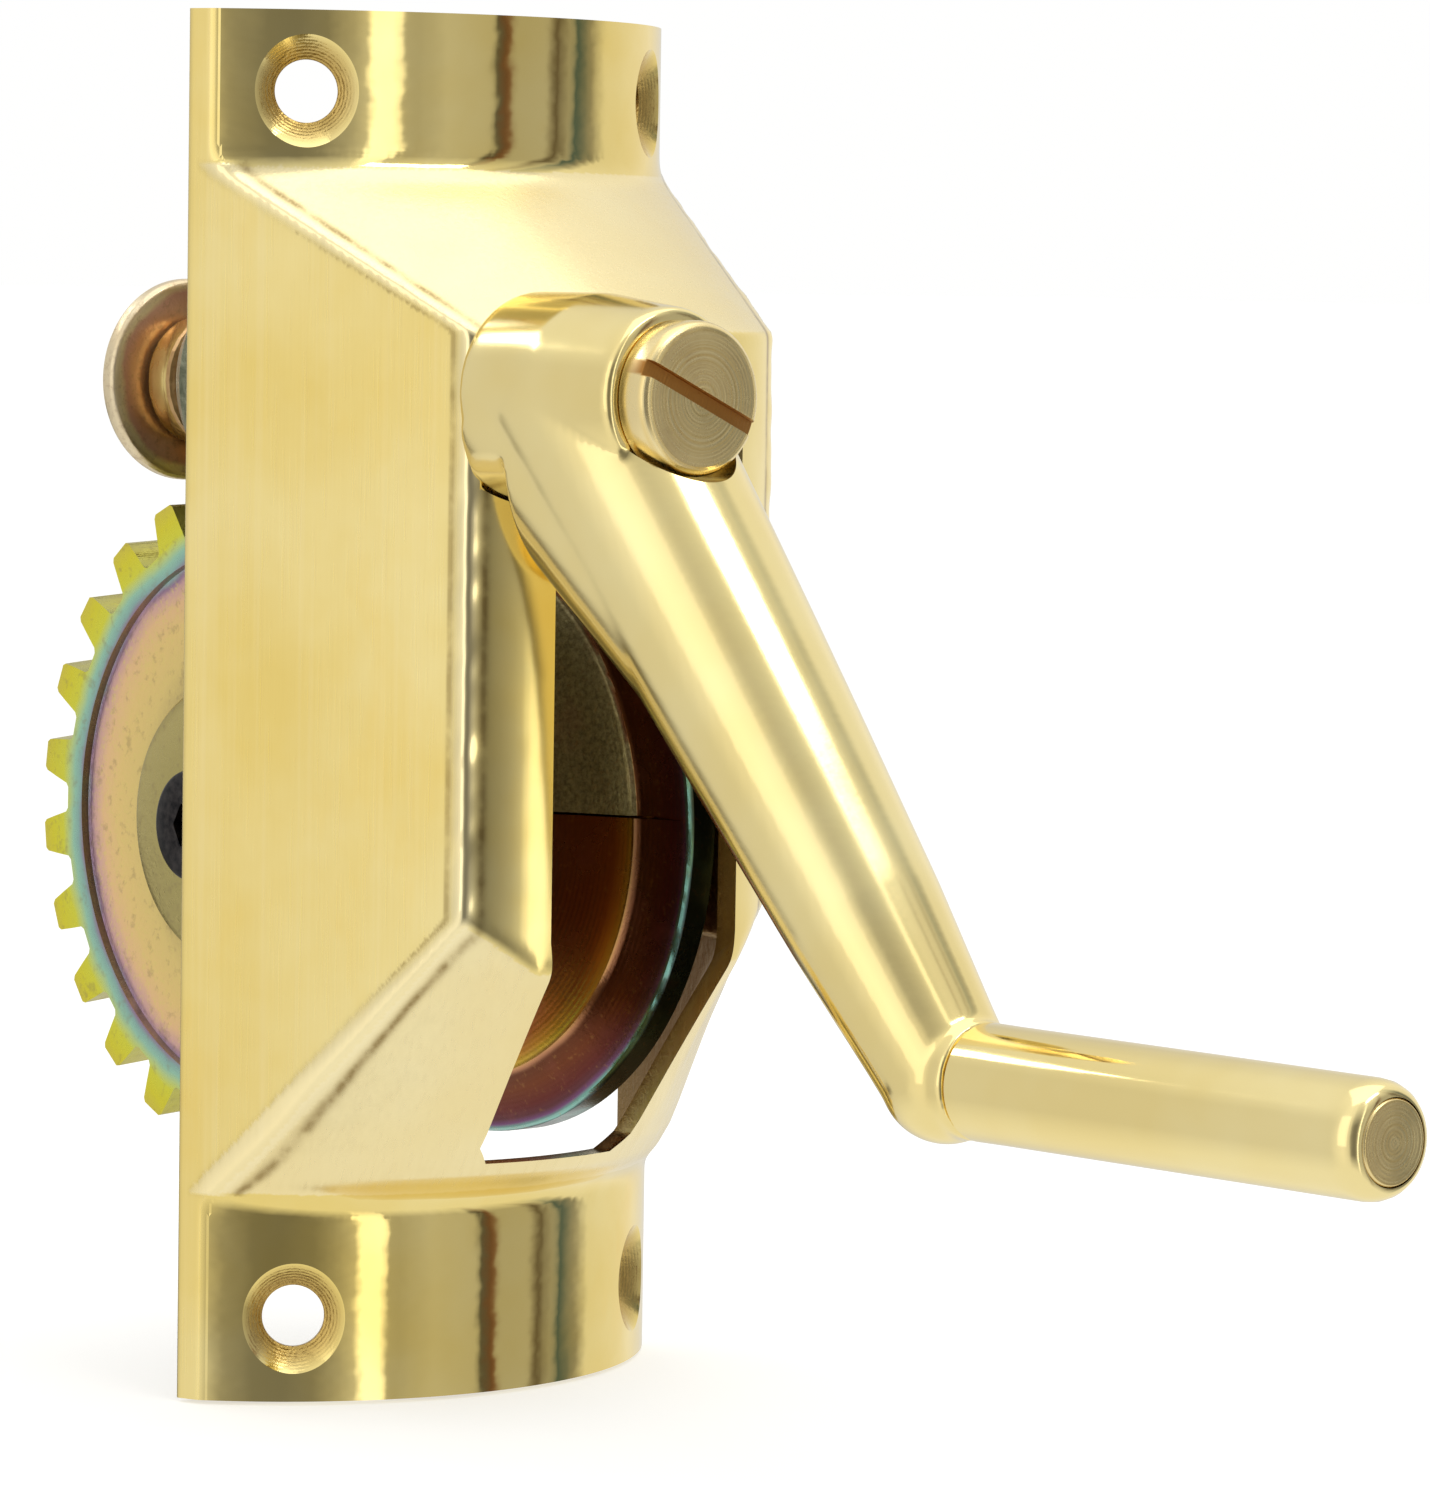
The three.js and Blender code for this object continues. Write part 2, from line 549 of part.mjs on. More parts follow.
// ---- crank and grip ----
const BOSS_BACK = -47.0, BOSS_FRONT = -77.4, BOSS_BACK_R = 14.2, BOSS_FRONT_R = 12.4;
const GRIP_BACK = -134.5, GRIP_FRONT = -207.6, GRIP_R = 7.8;
const ELBOW = [GRIP_X, -127.6, GRIP_Z], ELBOW_R = 9.05;
const ARM_START = [SHAFT_X + 0.3, -58.45, SHAFT_Z + 0.2];
const ARM_END = [GRIP_X + 0.15, -127.7, GRIP_Z + 0.1];
// [fraction of the arm's length, radius]
const ARM_STATIONS = [
  [0, 14.8], [0.15, 14.4], [0.3, 13.7], [0.42, 13.1], [0.54, 12.45], [0.78, 11.0], [1, 9.1],
];
// Second taper, from the foot of the boss into the arm
const FOOT = [SHAFT_X, -49.0, SHAFT_Z - 2.0], FOOT_R = 14.2, FOOT_END_R = 12.9;
const FOOT_TRIM_R = 15.85;

function makeArmRod() {
  const at = share => ARM_START.map((start, i) => start + (ARM_END[i] - start) * share);
  const centres = ARM_STATIONS.map(([share]) => at(share));
  return taperedBar(centres, ARM_STATIONS.map(([, radius]) => radius))
    .add(frustum(FOOT, at(0.4), FOOT_R, FOOT_END_R, 30))
    .subtract(box([-80, 60], [BOSS_BACK, 0], [0, 240]))
    .subtract(ring(SHAFT_LINE, FOOT_TRIM_R, 70, [-56.2, -40], 36));
}

function makeElbow() {
  const geometry = new THREE.SphereGeometry(ELBOW_R, 28, 14);
  geometry.translate(...ELBOW);
  return fromGeometry(geometry).subtract(box([-80, 60], [-160, GRIP_BACK], [0, 240]));
}

function makeCrankArm() {
  return revolve(SHAFT_LINE, [
    [0, BOSS_BACK], [BOSS_BACK_R - 0.8, BOSS_BACK], [BOSS_BACK_R, BOSS_BACK - 0.9],
    [BOSS_BACK_R, -62], [BOSS_FRONT_R, BOSS_FRONT + 0.8], [BOSS_FRONT_R - 0.6, BOSS_FRONT],
    [0, BOSS_FRONT],
  ], 48)
    .add(makeArmRod())
    .add(makeElbow())
    .add(cylinder(GRIP_LINE, 8.0, [GRIP_BACK, -127], 32))
    .subtract(cylinder(SHAFT_LINE, 11.3, [-100, BOSS_FRONT], 36)) // room for the screw head
    .subtract(cylinder(SHAFT_LINE, SHAFT_R + 0.06, [-77.9, -40]))
    .subtract(makeKeySlot(-46, 8.6))
    .subtract(cylinder(GRIP_LINE, 3.06, [-140, -120]));
}

function makeCrankKey() {
  return box([SHAFT_X - KEY.halfWidth, SHAFT_X + KEY.halfWidth], [KEY.front, KEY.back],
    [SHAFT_Z + KEY.bottom, SHAFT_Z + KEY.top]);
}

function makeCrankScrew() {
  const slot = new THREE.BoxGeometry(2.2, 3.4, 30);
  slot.rotateY(-1.15);
  slot.translate(SHAFT_X, -83.1, SHAFT_Z);
  return revolve(SHAFT_LINE, [
    [0, -82.9], [9.5, -82.9], [10.4, -82.3], [10.7, -81.4], [10.7, -77.6],
    [SCREW_R, -77.6], [SCREW_R, -63], [3.4, -62], [0, -62],
  ], 48).subtract(fromGeometry(slot));
}

function makeGripSleeve() {
  return revolve(GRIP_LINE, [
    [4.1, GRIP_BACK - 0.4], [7.5, GRIP_BACK - 0.4], [7.9, GRIP_BACK - 0.8],
    [GRIP_R, GRIP_FRONT + 2.6], [7.1, GRIP_FRONT + 1.0], [5.9, GRIP_FRONT + 0.2],
    [5.7, GRIP_FRONT + 0.2], [5.7, GRIP_FRONT + 4.2], [4.1, GRIP_FRONT + 4.2],
  ], 32);
}

function makeGripSpindle() {
  return revolve(GRIP_LINE, [
    [0, -126.5], [3.0, -126.5], [3.0, GRIP_BACK - 0.2], [4.0, GRIP_BACK - 0.5],
    [4.0, GRIP_FRONT + 4.0], [5.6, GRIP_FRONT + 4.0], [5.6, GRIP_FRONT + 0.4],
    [5.2, GRIP_FRONT], [0, GRIP_FRONT],
  ], 32);
}

// ---- bushes and the rear disc ----
function makeFrontBush() {
  const bore = SHAFT_R + CLEARANCE;
  const outside = FRONT_BORE_R - CLEARANCE;
  return revolve(SHAFT_LINE, [
    [bore, -46.2], [outside, -46.2], [outside, -34.0], [10.4, -34.0], [10.4, -33.2], [bore, -33.2],
  ], 40);
}

function makeRearDisc() {
  return revolve(SHAFT_LINE, [
    [3.0, 31.9], [14.2, 31.9], [15.0, 32.6], [15.0, 34.4], [14.2, 35.1], [3.0, 35.1],
  ], 48);
}

function makeRearDiscScrew() {
  return revolve(SHAFT_LINE, [
    [0, 38.2], [3.9, 38.2], [4.6, 37.6], [4.6, 35.3], [2.55, 35.3], [2.55, 20], [0, 20],
  ], 28);
}

// ---- assembly ----
const root = new THREE.Group();
root.name = 'in_mast_winch';

function addPiece(name, solid, color = 0xb0904a) {
  const { numVert, numProp, vertProperties, triVerts } = solid.getMesh();
  const positions = new Float32Array(numVert * 3);
  for (let i = 0; i < numVert; i++) {
    positions[3 * i] = vertProperties[numProp * i];
    positions[3 * i + 1] = vertProperties[numProp * i + 1] + ORIGIN_SHIFT_Y;
    positions[3 * i + 2] = vertProperties[numProp * i + 2];
  }
  const geometry = new THREE.BufferGeometry();
  geometry.setAttribute('position', new THREE.BufferAttribute(positions, 3));
  geometry.setIndex(new THREE.BufferAttribute(new Uint32Array(triVerts), 1));
  geometry.computeVertexNormals();
  const material = new THREE.MeshStandardMaterial({ color, metalness: 0.9, roughness: 0.3 });
  const mesh = new THREE.Mesh(geometry, material);
  mesh.name = name;
  root.add(mesh);
}

addPiece('housing', makeHousing(), 0xd2b25c);
addPiece('worm_front_bush', makeFrontBush());
addPiece('worm_rear_bush',
  ring(SHAFT_LINE, SHAFT_R + CLEARANCE, REAR_BORE_R - CLEARANCE, [26.0, 30.8], 40));
addPiece('worm_shaft', makeWormShaft(), 0x8f9482);
addPiece('worm_front_washer', ring(SHAFT_LINE, SHAFT_R + 0.2, 9.8, [-32.9, -31.9]));
addPiece('worm_rear_washer', ring(SHAFT_LINE, SHAFT_R + 0.2, 10.0, [24.7, 25.6]));
addPiece('worm_rear_disc', makeRearDisc(), 0x8a5a44);
addPiece('rear_disc_screw', makeRearDiscScrew());
addPiece('worm_wheel', makeWormWheel(), 0xa8a05a);
addPiece('wheel_bush', ring(WHEEL_LINE, AXLE_R + CLEARANCE, HUB_BUSH_R, [-30.4, -9.9]));
addPiece('drum', makeDrum(), 0x8a4a34);
addPiece('drum_bush',
  ring(WHEEL_LINE, AXLE_R + CLEARANCE, HUB_BUSH_R, [-9.5, DRUM_RIGHT - 0.2]));
DRIVE_PIN_LINES.forEach((line, i) => {
  addPiece(`drive_pin_${i + 1}`, cylinder(line, PIN_R, [-17.7, -2.3], PIN_SEGMENTS));
});
addPiece('rope_clamp_screw',
  cylinder(CLAMP_SCREW_LINE, 2.1, [WHEEL_Z + 12.3, WHEEL_Z + 20.2], 16));
addPiece('drum_axle', makeAxle());
addPiece('axle_thrust_washer',
  ring(WHEEL_LINE, AXLE_R + 0.1, 13.0, [DRUM_RIGHT + 0.4, LUG_LEFT - 0.3]));
addPiece('axle_end_washer', ring(WHEEL_LINE, 4.3, 8.9, [-32.6, -31.3], 36), 0x26262a);
addPiece('axle_screw', makeAxleScrew(), 0x1c1c1e);
addPiece('axle_lock_pin',
  cylinder(LOCK_PIN_LINE, PIN_R, [WHEEL_Y + 2.3, WHEEL_Y + 15.9], PIN_SEGMENTS));
addPiece('crank_arm', makeCrankArm(), 0xd8b85e);
addPiece('crank_key', makeCrankKey());
addPiece('crank_screw', makeCrankScrew(), 0xcdae5c);
addPiece('grip_sleeve', makeGripSleeve(), 0xd8b85e);
addPiece('grip_spindle', makeGripSpindle(), 0xb89a4e);

export default root;
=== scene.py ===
"""Looks for an in-mast worm-gear winch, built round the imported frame.

Lengths are millimetres in the part's drawing frame: X runs across, Z up from the lower end, Y = 0
lies on the back edges of the side plates and -Y is the front, where the crank stands.
mesh_from() turns drawing lengths into metres."""
import math
import bpy
import bmesh
import numpy as np
from mathutils import Matrix, Vector

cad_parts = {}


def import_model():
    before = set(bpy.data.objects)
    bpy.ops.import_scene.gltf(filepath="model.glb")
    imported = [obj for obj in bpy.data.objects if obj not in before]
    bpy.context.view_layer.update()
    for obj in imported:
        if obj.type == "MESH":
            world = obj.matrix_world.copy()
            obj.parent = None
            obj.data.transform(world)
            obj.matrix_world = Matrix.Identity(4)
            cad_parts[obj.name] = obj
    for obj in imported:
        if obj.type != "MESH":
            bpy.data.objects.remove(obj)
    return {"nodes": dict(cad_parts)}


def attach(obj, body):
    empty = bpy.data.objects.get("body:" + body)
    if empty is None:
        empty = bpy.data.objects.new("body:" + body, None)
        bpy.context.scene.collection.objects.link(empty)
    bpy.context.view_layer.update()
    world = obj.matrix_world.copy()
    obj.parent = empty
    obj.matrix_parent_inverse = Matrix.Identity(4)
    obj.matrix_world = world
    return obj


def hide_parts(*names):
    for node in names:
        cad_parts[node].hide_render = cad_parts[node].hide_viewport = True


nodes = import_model()["nodes"]
collection = bpy.context.scene.collection

MM = 0.001
BACK_Y = 21.9                   # the drawing's Y = 0 in the frame's own Y

# Housing: end flanges, a raised middle and sloping roofs between them
HEIGHT = 200.0
LOW_FOOT, LOW_TOP = 29.0, 72.1      # lower roof, from the flange up to the middle
HIGH_TOP, HIGH_FOOT = 154.8, 177.7  # upper roof, from the middle up to the flange
LEDGE_Z, LEDGE_Y = 36.5, -34.2      # ledge across the lower roof
LIP_DROP = 7.0                      # how far the roof's central lip hangs
BELLY_TOP = 113.0                   # the lip and the roof's fuller middle end here
BACK_HALF_WIDTH, TAPER = 43.85, 0.34  # side plates: half width at Y = 0, widening per mm of Y
FLANGE_Y, MIDDLE_Y = -4.0, -45.4    # plate corners
FLANGE_R, MIDDLE_R = 55.64, 46.0    # front arcs
WALL = 3.6
END_STOCK = 1.5                     # extra length, trimmed off each end
SLANT = math.sqrt(1 + TAPER * TAPER)


def half_width(y):
    return BACK_HALF_WIDTH + TAPER * y


FLANGE_RISE = FLANGE_R - math.sqrt(FLANGE_R * FLANGE_R - half_width(FLANGE_Y) ** 2)
MIDDLE_RISE = MIDDLE_R - math.sqrt(MIDDLE_R * MIDDLE_R - half_width(MIDDLE_Y) ** 2)
FLANGE_ARC_Y = FLANGE_Y + math.sqrt(FLANGE_R * FLANGE_R - half_width(FLANGE_Y) ** 2)

# Countersunk holes in the flanges, bored along radii of the front arc
HOLE_ANGLE = math.asin(32.4 / FLANGE_R)
HOLES = [(side, z) for side in (-1, 1) for z in (188.5, 12.1)]
HOLE_R = 4.5
SINK_R, SINK_MOUTH_R = 4.2, 10.0    # countersink radii at its floor and at the cutter's mouth
SINK_DEPTH, SINK_PROUD = 3.1, 1.6   # floor below the arc, mouth above it

# Axes: direction and a point on it
WORM_X, WORM_Z = -17.85, 146.4
GEAR_Y, GEAR_Z = 8.5, 82.0
GRIP_X, GRIP_Z = -12.4, 57.7
WORM_AXIS = ("y", (WORM_X, 0, WORM_Z))
GEAR_AXIS = ("x", (0, GEAR_Y, GEAR_Z))
GRIP_AXIS = ("y", (GRIP_X, 0, GRIP_Z))

# Gearing
TEETH = 25
WHEEL_TIP_R, WHEEL_ROOT_R, WHEEL_PITCH_R = 49.6, 43.6, 46.6
PITCH = 2 * math.pi * WHEEL_PITCH_R / TEETH
FIRST_TOOTH = 0.093
WORM_TIP_R, WORM_ROOT_R, WORM_PITCH_R = 20.4, 14.3, 17.8
WORM_FRONT_Y, SHAFT_SHOULDER_Y = -7.0, 24.4

# Crank
BOSS_R = 17.2
CRANK_BACK_Y, CRANK_FRONT_Y = -47.0, -77.4
ELBOW_Y = -127.6
GRIP_BACK_Y, GRIP_FRONT_Y = -134.5, -207.6


# ------------------------------------------------------------------ solids
def mesh_from(verts, faces):
    coords = np.asarray(verts, float).copy()
    coords[:, 1] += BACK_Y
    coords *= MM
    mesh = bpy.data.meshes.new("part")
    mesh.from_pydata(coords.tolist(), [], faces)
    mesh.validate()
    obj = bpy.data.objects.new("part", mesh)
    collection.objects.link(obj)
    bm = bmesh.new()
    bm.from_mesh(mesh)
    bmesh.ops.remove_doubles(bm, verts=bm.verts, dist=1e-7)
    bmesh.ops.recalc_face_normals(bm, faces=bm.faces)
    if bm.calc_volume(signed=True) < 0:
        bmesh.ops.reverse_faces(bm, faces=bm.faces)
    bm.to_mesh(mesh)
    bm.free()
    return obj


def revolve(axis, profile, seg=96):
    """Turns a closed profile of (radius, place along the axis)."""
    direction, centre = axis
    verts, faces, rings = [], [], []
    for radius, along in profile:
        ring = []
        for i in range(seg if radius > 1e-6 else 1):
            angle = 2 * math.pi * i / seg
            u, w = radius * math.cos(angle), radius * math.sin(angle)
            p = {"x": (along, u, w), "y": (w, along, u), "z": (u, w, along)}[direction]
            ring.append(len(verts))
            verts.append((p[0] + centre[0], p[1] + centre[1], p[2] + centre[2]))
        rings.append(ring)
    for j, ring in enumerate(rings):
        after = rings[(j + 1) % len(rings)]
        if len(ring) == 1 and len(after) == 1:
            continue
        for i in range(seg):
            k = (i + 1) % seg
            corners = (ring[i % len(ring)], ring[k % len(ring)],
                       after[k % len(after)], after[i % len(after)])
            faces.append(list(dict.fromkeys(corners)))
    return mesh_from(verts, faces)


def cylinder(axis, radius, span, seg=96):
    start, end = span
    return revolve(axis, [(0, start), (radius, start), (radius, end), (0, end)], seg)


def ball(centre, radius, seg=64, rings=32):
    angles = [math.pi * i / rings for i in range(rings + 1)]
    profile = [(radius * math.sin(a), centre[1] - radius * math.cos(a)) for a in angles]
    return revolve(("y", (centre[0], 0, centre[2])), profile, seg)


def box(x, y, z):
    verts = [(a, b, c) for a in x for b in y for c in z]
    return mesh_from(verts, [(0, 1, 3, 2), (4, 6, 7, 5), (0, 4, 5, 1),
                             (2, 3, 7, 6), (0, 2, 6, 4), (1, 5, 7, 3)])


def ring_solid(rings):
    """Joins equal closed loops in turn and caps both ends."""
    count, size = len(rings), len(rings[0])
    faces = [(j * size + i, j * size + (i + 1) % size,
              (j + 1) * size + (i + 1) % size, (j + 1) * size + i)
             for j in range(count - 1) for i in range(size)]
    faces += [tuple(range(size)), tuple(range(count * size - 1, (count - 1) * size - 1, -1))]
    return mesh_from([p for ring in rings for p in ring], faces)


def tube(points, radii, seg=96):
    """Round bar through points on one straight line."""
    points = [Vector(p) for p in points]
    direction = (points[-1] - points[0]).normalized()
    u = direction.orthogonal().normalized()
    w = direction.cross(u)
    angles = [2 * math.pi * i / seg for i in range(seg)]
    return ring_solid([[tuple(c + u * (r * math.cos(a)) + w * (r * math.sin(a))) for a in angles]
                       for c, r in zip(points, radii)])


# ------------------------------------------------------------------ changes to a mesh
def apply_all(obj):
    depsgraph = bpy.context.evaluated_depsgraph_get()
    mesh = bpy.data.meshes.new_from_object(obj.evaluated_get(depsgraph))
    old = obj.data
    obj.modifiers.clear()
    obj.data = mesh
    bpy.data.meshes.remove(old)


def boolean(obj, other, operation):
    mod = obj.modifiers.new("b", "BOOLEAN")
    mod.operation, mod.object, mod.solver = operation, other, "EXACT"
    apply_all(obj)
    bpy.data.objects.remove(other)


def cut(obj, *cutters):
    for cutter in cutters:
        boolean(obj, cutter, "DIFFERENCE")


def unite(obj, *parts):
    for part in parts:
        boolean(obj, part, "UNION")


def voxel(obj, size, smooth):
    """Remeshes in voxels of this size and relaxes, which rounds every join."""
    mod = obj.modifiers.new("r", "REMESH")
    mod.mode, mod.voxel_size, mod.use_smooth_shade = "VOXEL", size * MM, True
    mod.adaptivity = 0
    apply_all(obj)
    mod = obj.modifiers.new("s", "SMOOTH")
    mod.factor, mod.iterations = 0.5, smooth
    apply_all(obj)


def smooth_by_angle(obj, deg=35):
    for polygon in obj.data.polygons:
        polygon.use_smooth = True
    obj.data.set_sharp_from_angle(angle=math.radians(deg))


def bevel(obj, width, seg=3, deg=28):
    mod = obj.modifiers.new("bv", "BEVEL")
    mod.width, mod.segments, mod.limit_method = width * MM, seg, "ANGLE"
    mod.angle_limit = math.radians(deg)
    apply_all(obj)
    smooth_by_angle(obj, 42)


def get_points(obj):
    """Vertex places in the drawing frame."""
    coords = np.empty(len(obj.data.vertices) * 3, np.float32)
    obj.data.vertices.foreach_get("co", coords)
    points = coords.reshape(-1, 3).astype(float) * 1000
    points[:, 1] -= BACK_Y
    return points


def set_points(obj, points):
    coords = points.copy()
    coords[:, 1] += BACK_Y
    obj.data.vertices.foreach_set("co", (coords * MM).astype(np.float32).ravel())
    obj.data.update()


def float_attr(obj, name, values):
    attribute = obj.data.attributes.new(name, "FLOAT", "POINT")
    attribute.data.foreach_set("value", np.asarray(values, np.float32))


def piece(obj, body, node, material, name=None):
    """Names the piece, gives it its material and hands it to the frame."""
    obj.name = obj.data.name = (name or node) + "_visual"
    obj.data.materials.clear()
    obj.data.materials.append(material)
    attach(obj, body)
    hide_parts(node)
    return obj


# ------------------------------------------------------------------ shader graphs
class Graph:
    """Short calls for the nodes of one tree; pos is the default texture vector."""

    def __init__(self, tree, coordinates):
        self.tree = tree
        tree.nodes.clear()
        self.coords = self.node("ShaderNodeTexCoord").outputs
        self.pos = self.coords[coordinates]

    def node(self, kind, **settings):
        node = self.tree.nodes.new(kind)
        for key, value in settings.items():
            setattr(node, key, value)
        return node

    def link(self, source, target):
        self.tree.links.new(source, target)

    def put(self, socket, value):
        if isinstance(value, bpy.types.NodeSocket):
            self.link(value, socket)
        else:
            socket.default_value = value

    def math(self, operation, a, b=0.0, third=0.0):
        """third=None leaves the third input as it comes."""
        node = self.node("ShaderNodeMath", operation=operation)
        for socket, value in zip(node.inputs, (a, b, third)):
            if value is not None:
                self.put(socket, value)
        return node.outputs[0]

    def times(self, a, b):
        return self.math("MULTIPLY", a, b)

    def add(self, a, b):
        return self.math("ADD", a, b)

    def remap(self, value, span, out=(0.0, 1.0), kind="LINEAR"):
        """Clamped map of the span onto out."""
        node = self.node("ShaderNodeMapRange", interpolation_type=kind)
        for socket, number in zip(node.inputs, (value, *span, *out)):
            self.put(socket, number)
        return node.outputs[0]

    def mapping(self, scale=(1, 1, 1), rotation=(0, 0, 0), vector=None):
        node = self.node("ShaderNodeMapping")
        node.inputs["Scale"].default_value = scale
        node.inputs["Rotation"].default_value = rotation
        self.link(vector or self.pos, node.inputs[0])
        return node.outputs[0]

    def noise(self, scale, detail=3.0, rough=0.55, distortion=0.0, vector=None):
        node = self.node("ShaderNodeTexNoise")
        self.link(vector or self.pos, node.inputs["Vector"])
        node.inputs["Scale"].default_value = scale
        node.inputs["Detail"].default_value = detail
        node.inputs["Roughness"].default_value = rough
        node.inputs["Distortion"].default_value = distortion
        return node.outputs["Fac"]

    def ramp(self, value, stops):
        """Colour ramp through (position, colour) stops."""
        node = self.node("ShaderNodeValToRGB")
        elements = node.color_ramp.elements
        while len(elements) > 1:
            elements.remove(elements[-1])
        elements[0].position, elements[0].color = stops[0][0], (*stops[0][1], 1)
        for position, colour in stops[1:]:
            elements.new(position).color = (*colour, 1)
        self.put(node.inputs[0], value)
        return node.outputs[0]

    def mix(self, factor, a, b):
        """Colours a to b."""
        node = self.node("ShaderNodeMix", data_type="RGBA")
        self.put(node.inputs[0], factor)
        for socket, value in ((node.inputs[6], a), (node.inputs[7], b)):
            self.put(socket, (*value, 1) if isinstance(value, tuple) else value)
        return node.outputs[2]

    def tint(self, base, colour, mask, amount):
        return self.mix(self.times(mask, amount), base, colour)

    def mix_value(self, factor, a, b):
        node = self.node("ShaderNodeMix", data_type="FLOAT")
        for index, value in ((0, factor), (2, a), (3, b)):
            self.put(node.inputs[index], value)
        return node.outputs[0]

    def bump(self, height, strength, distance, under=None):
        node = self.node("ShaderNodeBump")
        node.inputs["Strength"].default_value = strength
        node.inputs["Distance"].default_value = distance
        self.link(height, node.inputs["Height"])
        if under is not None:
            self.link(under, node.inputs["Normal"])
        return node.outputs[0]

    def split(self, vector):
        node = self.node("ShaderNodeSeparateXYZ")
        self.link(vector, node.inputs[0])
        return node.outputs

    def facing_x(self):
        """How squarely the surface faces along X, either way."""
        return self.math("ABSOLUTE", self.split(self.coords["Normal"])[0])

    def radius(self, axis):
        """Distance from an axis, in mm."""
        direction, (x, y, z) = axis
        offset = self.node("ShaderNodeVectorMath", operation="SUBTRACT")
        self.link(self.pos, offset.inputs[0])
        offset.inputs[1].default_value = (x * MM, (y + BACK_Y) * MM, z * MM)
        across = self.node("ShaderNodeVectorMath", operation="MULTIPLY")
        self.link(offset.outputs[0], across.inputs[0])
        masks = {"x": (0, 1, 1), "y": (1, 0, 1), "z": (1, 1, 0)}
        across.inputs[1].default_value = masks[direction]
        length = self.node("ShaderNodeVectorMath", operation="LENGTH")
        self.link(across.outputs[0], length.inputs[0])
        return self.times(length.outputs["Value"], 1000.0)

    def rings(self, radius, rate):
        """Sine of the radius; rate is in radians per mm."""
        return self.math("SINE", self.times(radius, rate))

    def film(self, radius, reach, scale, wander, stops):
        """Colours by radius out to reach (mm), strayed up to wander; stops are (mm, colour)."""
        stray = self.remap(self.noise(scale), span=(0.3, 0.7), out=(-wander, wander))
        place = self.remap(self.add(radius, stray), span=(0.0, reach))
        return self.ramp(place, [(mm / reach, colour) for mm, colour in stops])

    def attr(self, name):
        return self.node("ShaderNodeAttribute", attribute_name=name).outputs["Fac"]


class Mat(Graph):
    def __init__(self, name):
        self.material = bpy.data.materials.new(name)
        self.material.use_nodes = True
        super().__init__(self.material.node_tree, "Object")
        output = self.node("ShaderNodeOutputMaterial")
        self.shader = self.node("ShaderNodeBsdfPrincipled")
        self.link(self.shader.outputs[0], output.inputs[0])

    def finish(self, colour, metallic, rough, normal, coat=None):
        inputs = self.shader.inputs
        self.link(colour, inputs["Base Color"])
        self.put(inputs["Metallic"], metallic)
        self.put(inputs["Roughness"], rough)
        self.link(normal, inputs["Normal"])
        if coat is not None:
            inputs["Coat Weight"].default_value = coat
            inputs["Coat Roughness"].default_value = 0.12
        return self.material


# ------------------------------------------------------------------ materials
BRASS = (0.82, 0.635, 0.205)
BRASS_PALE = (0.88, 0.74, 0.34)
# dark brown of the inside: mostly painted shade, with some darker cast brass
BRASS_SHADED_INSIDE = (0.30, 0.165, 0.035)


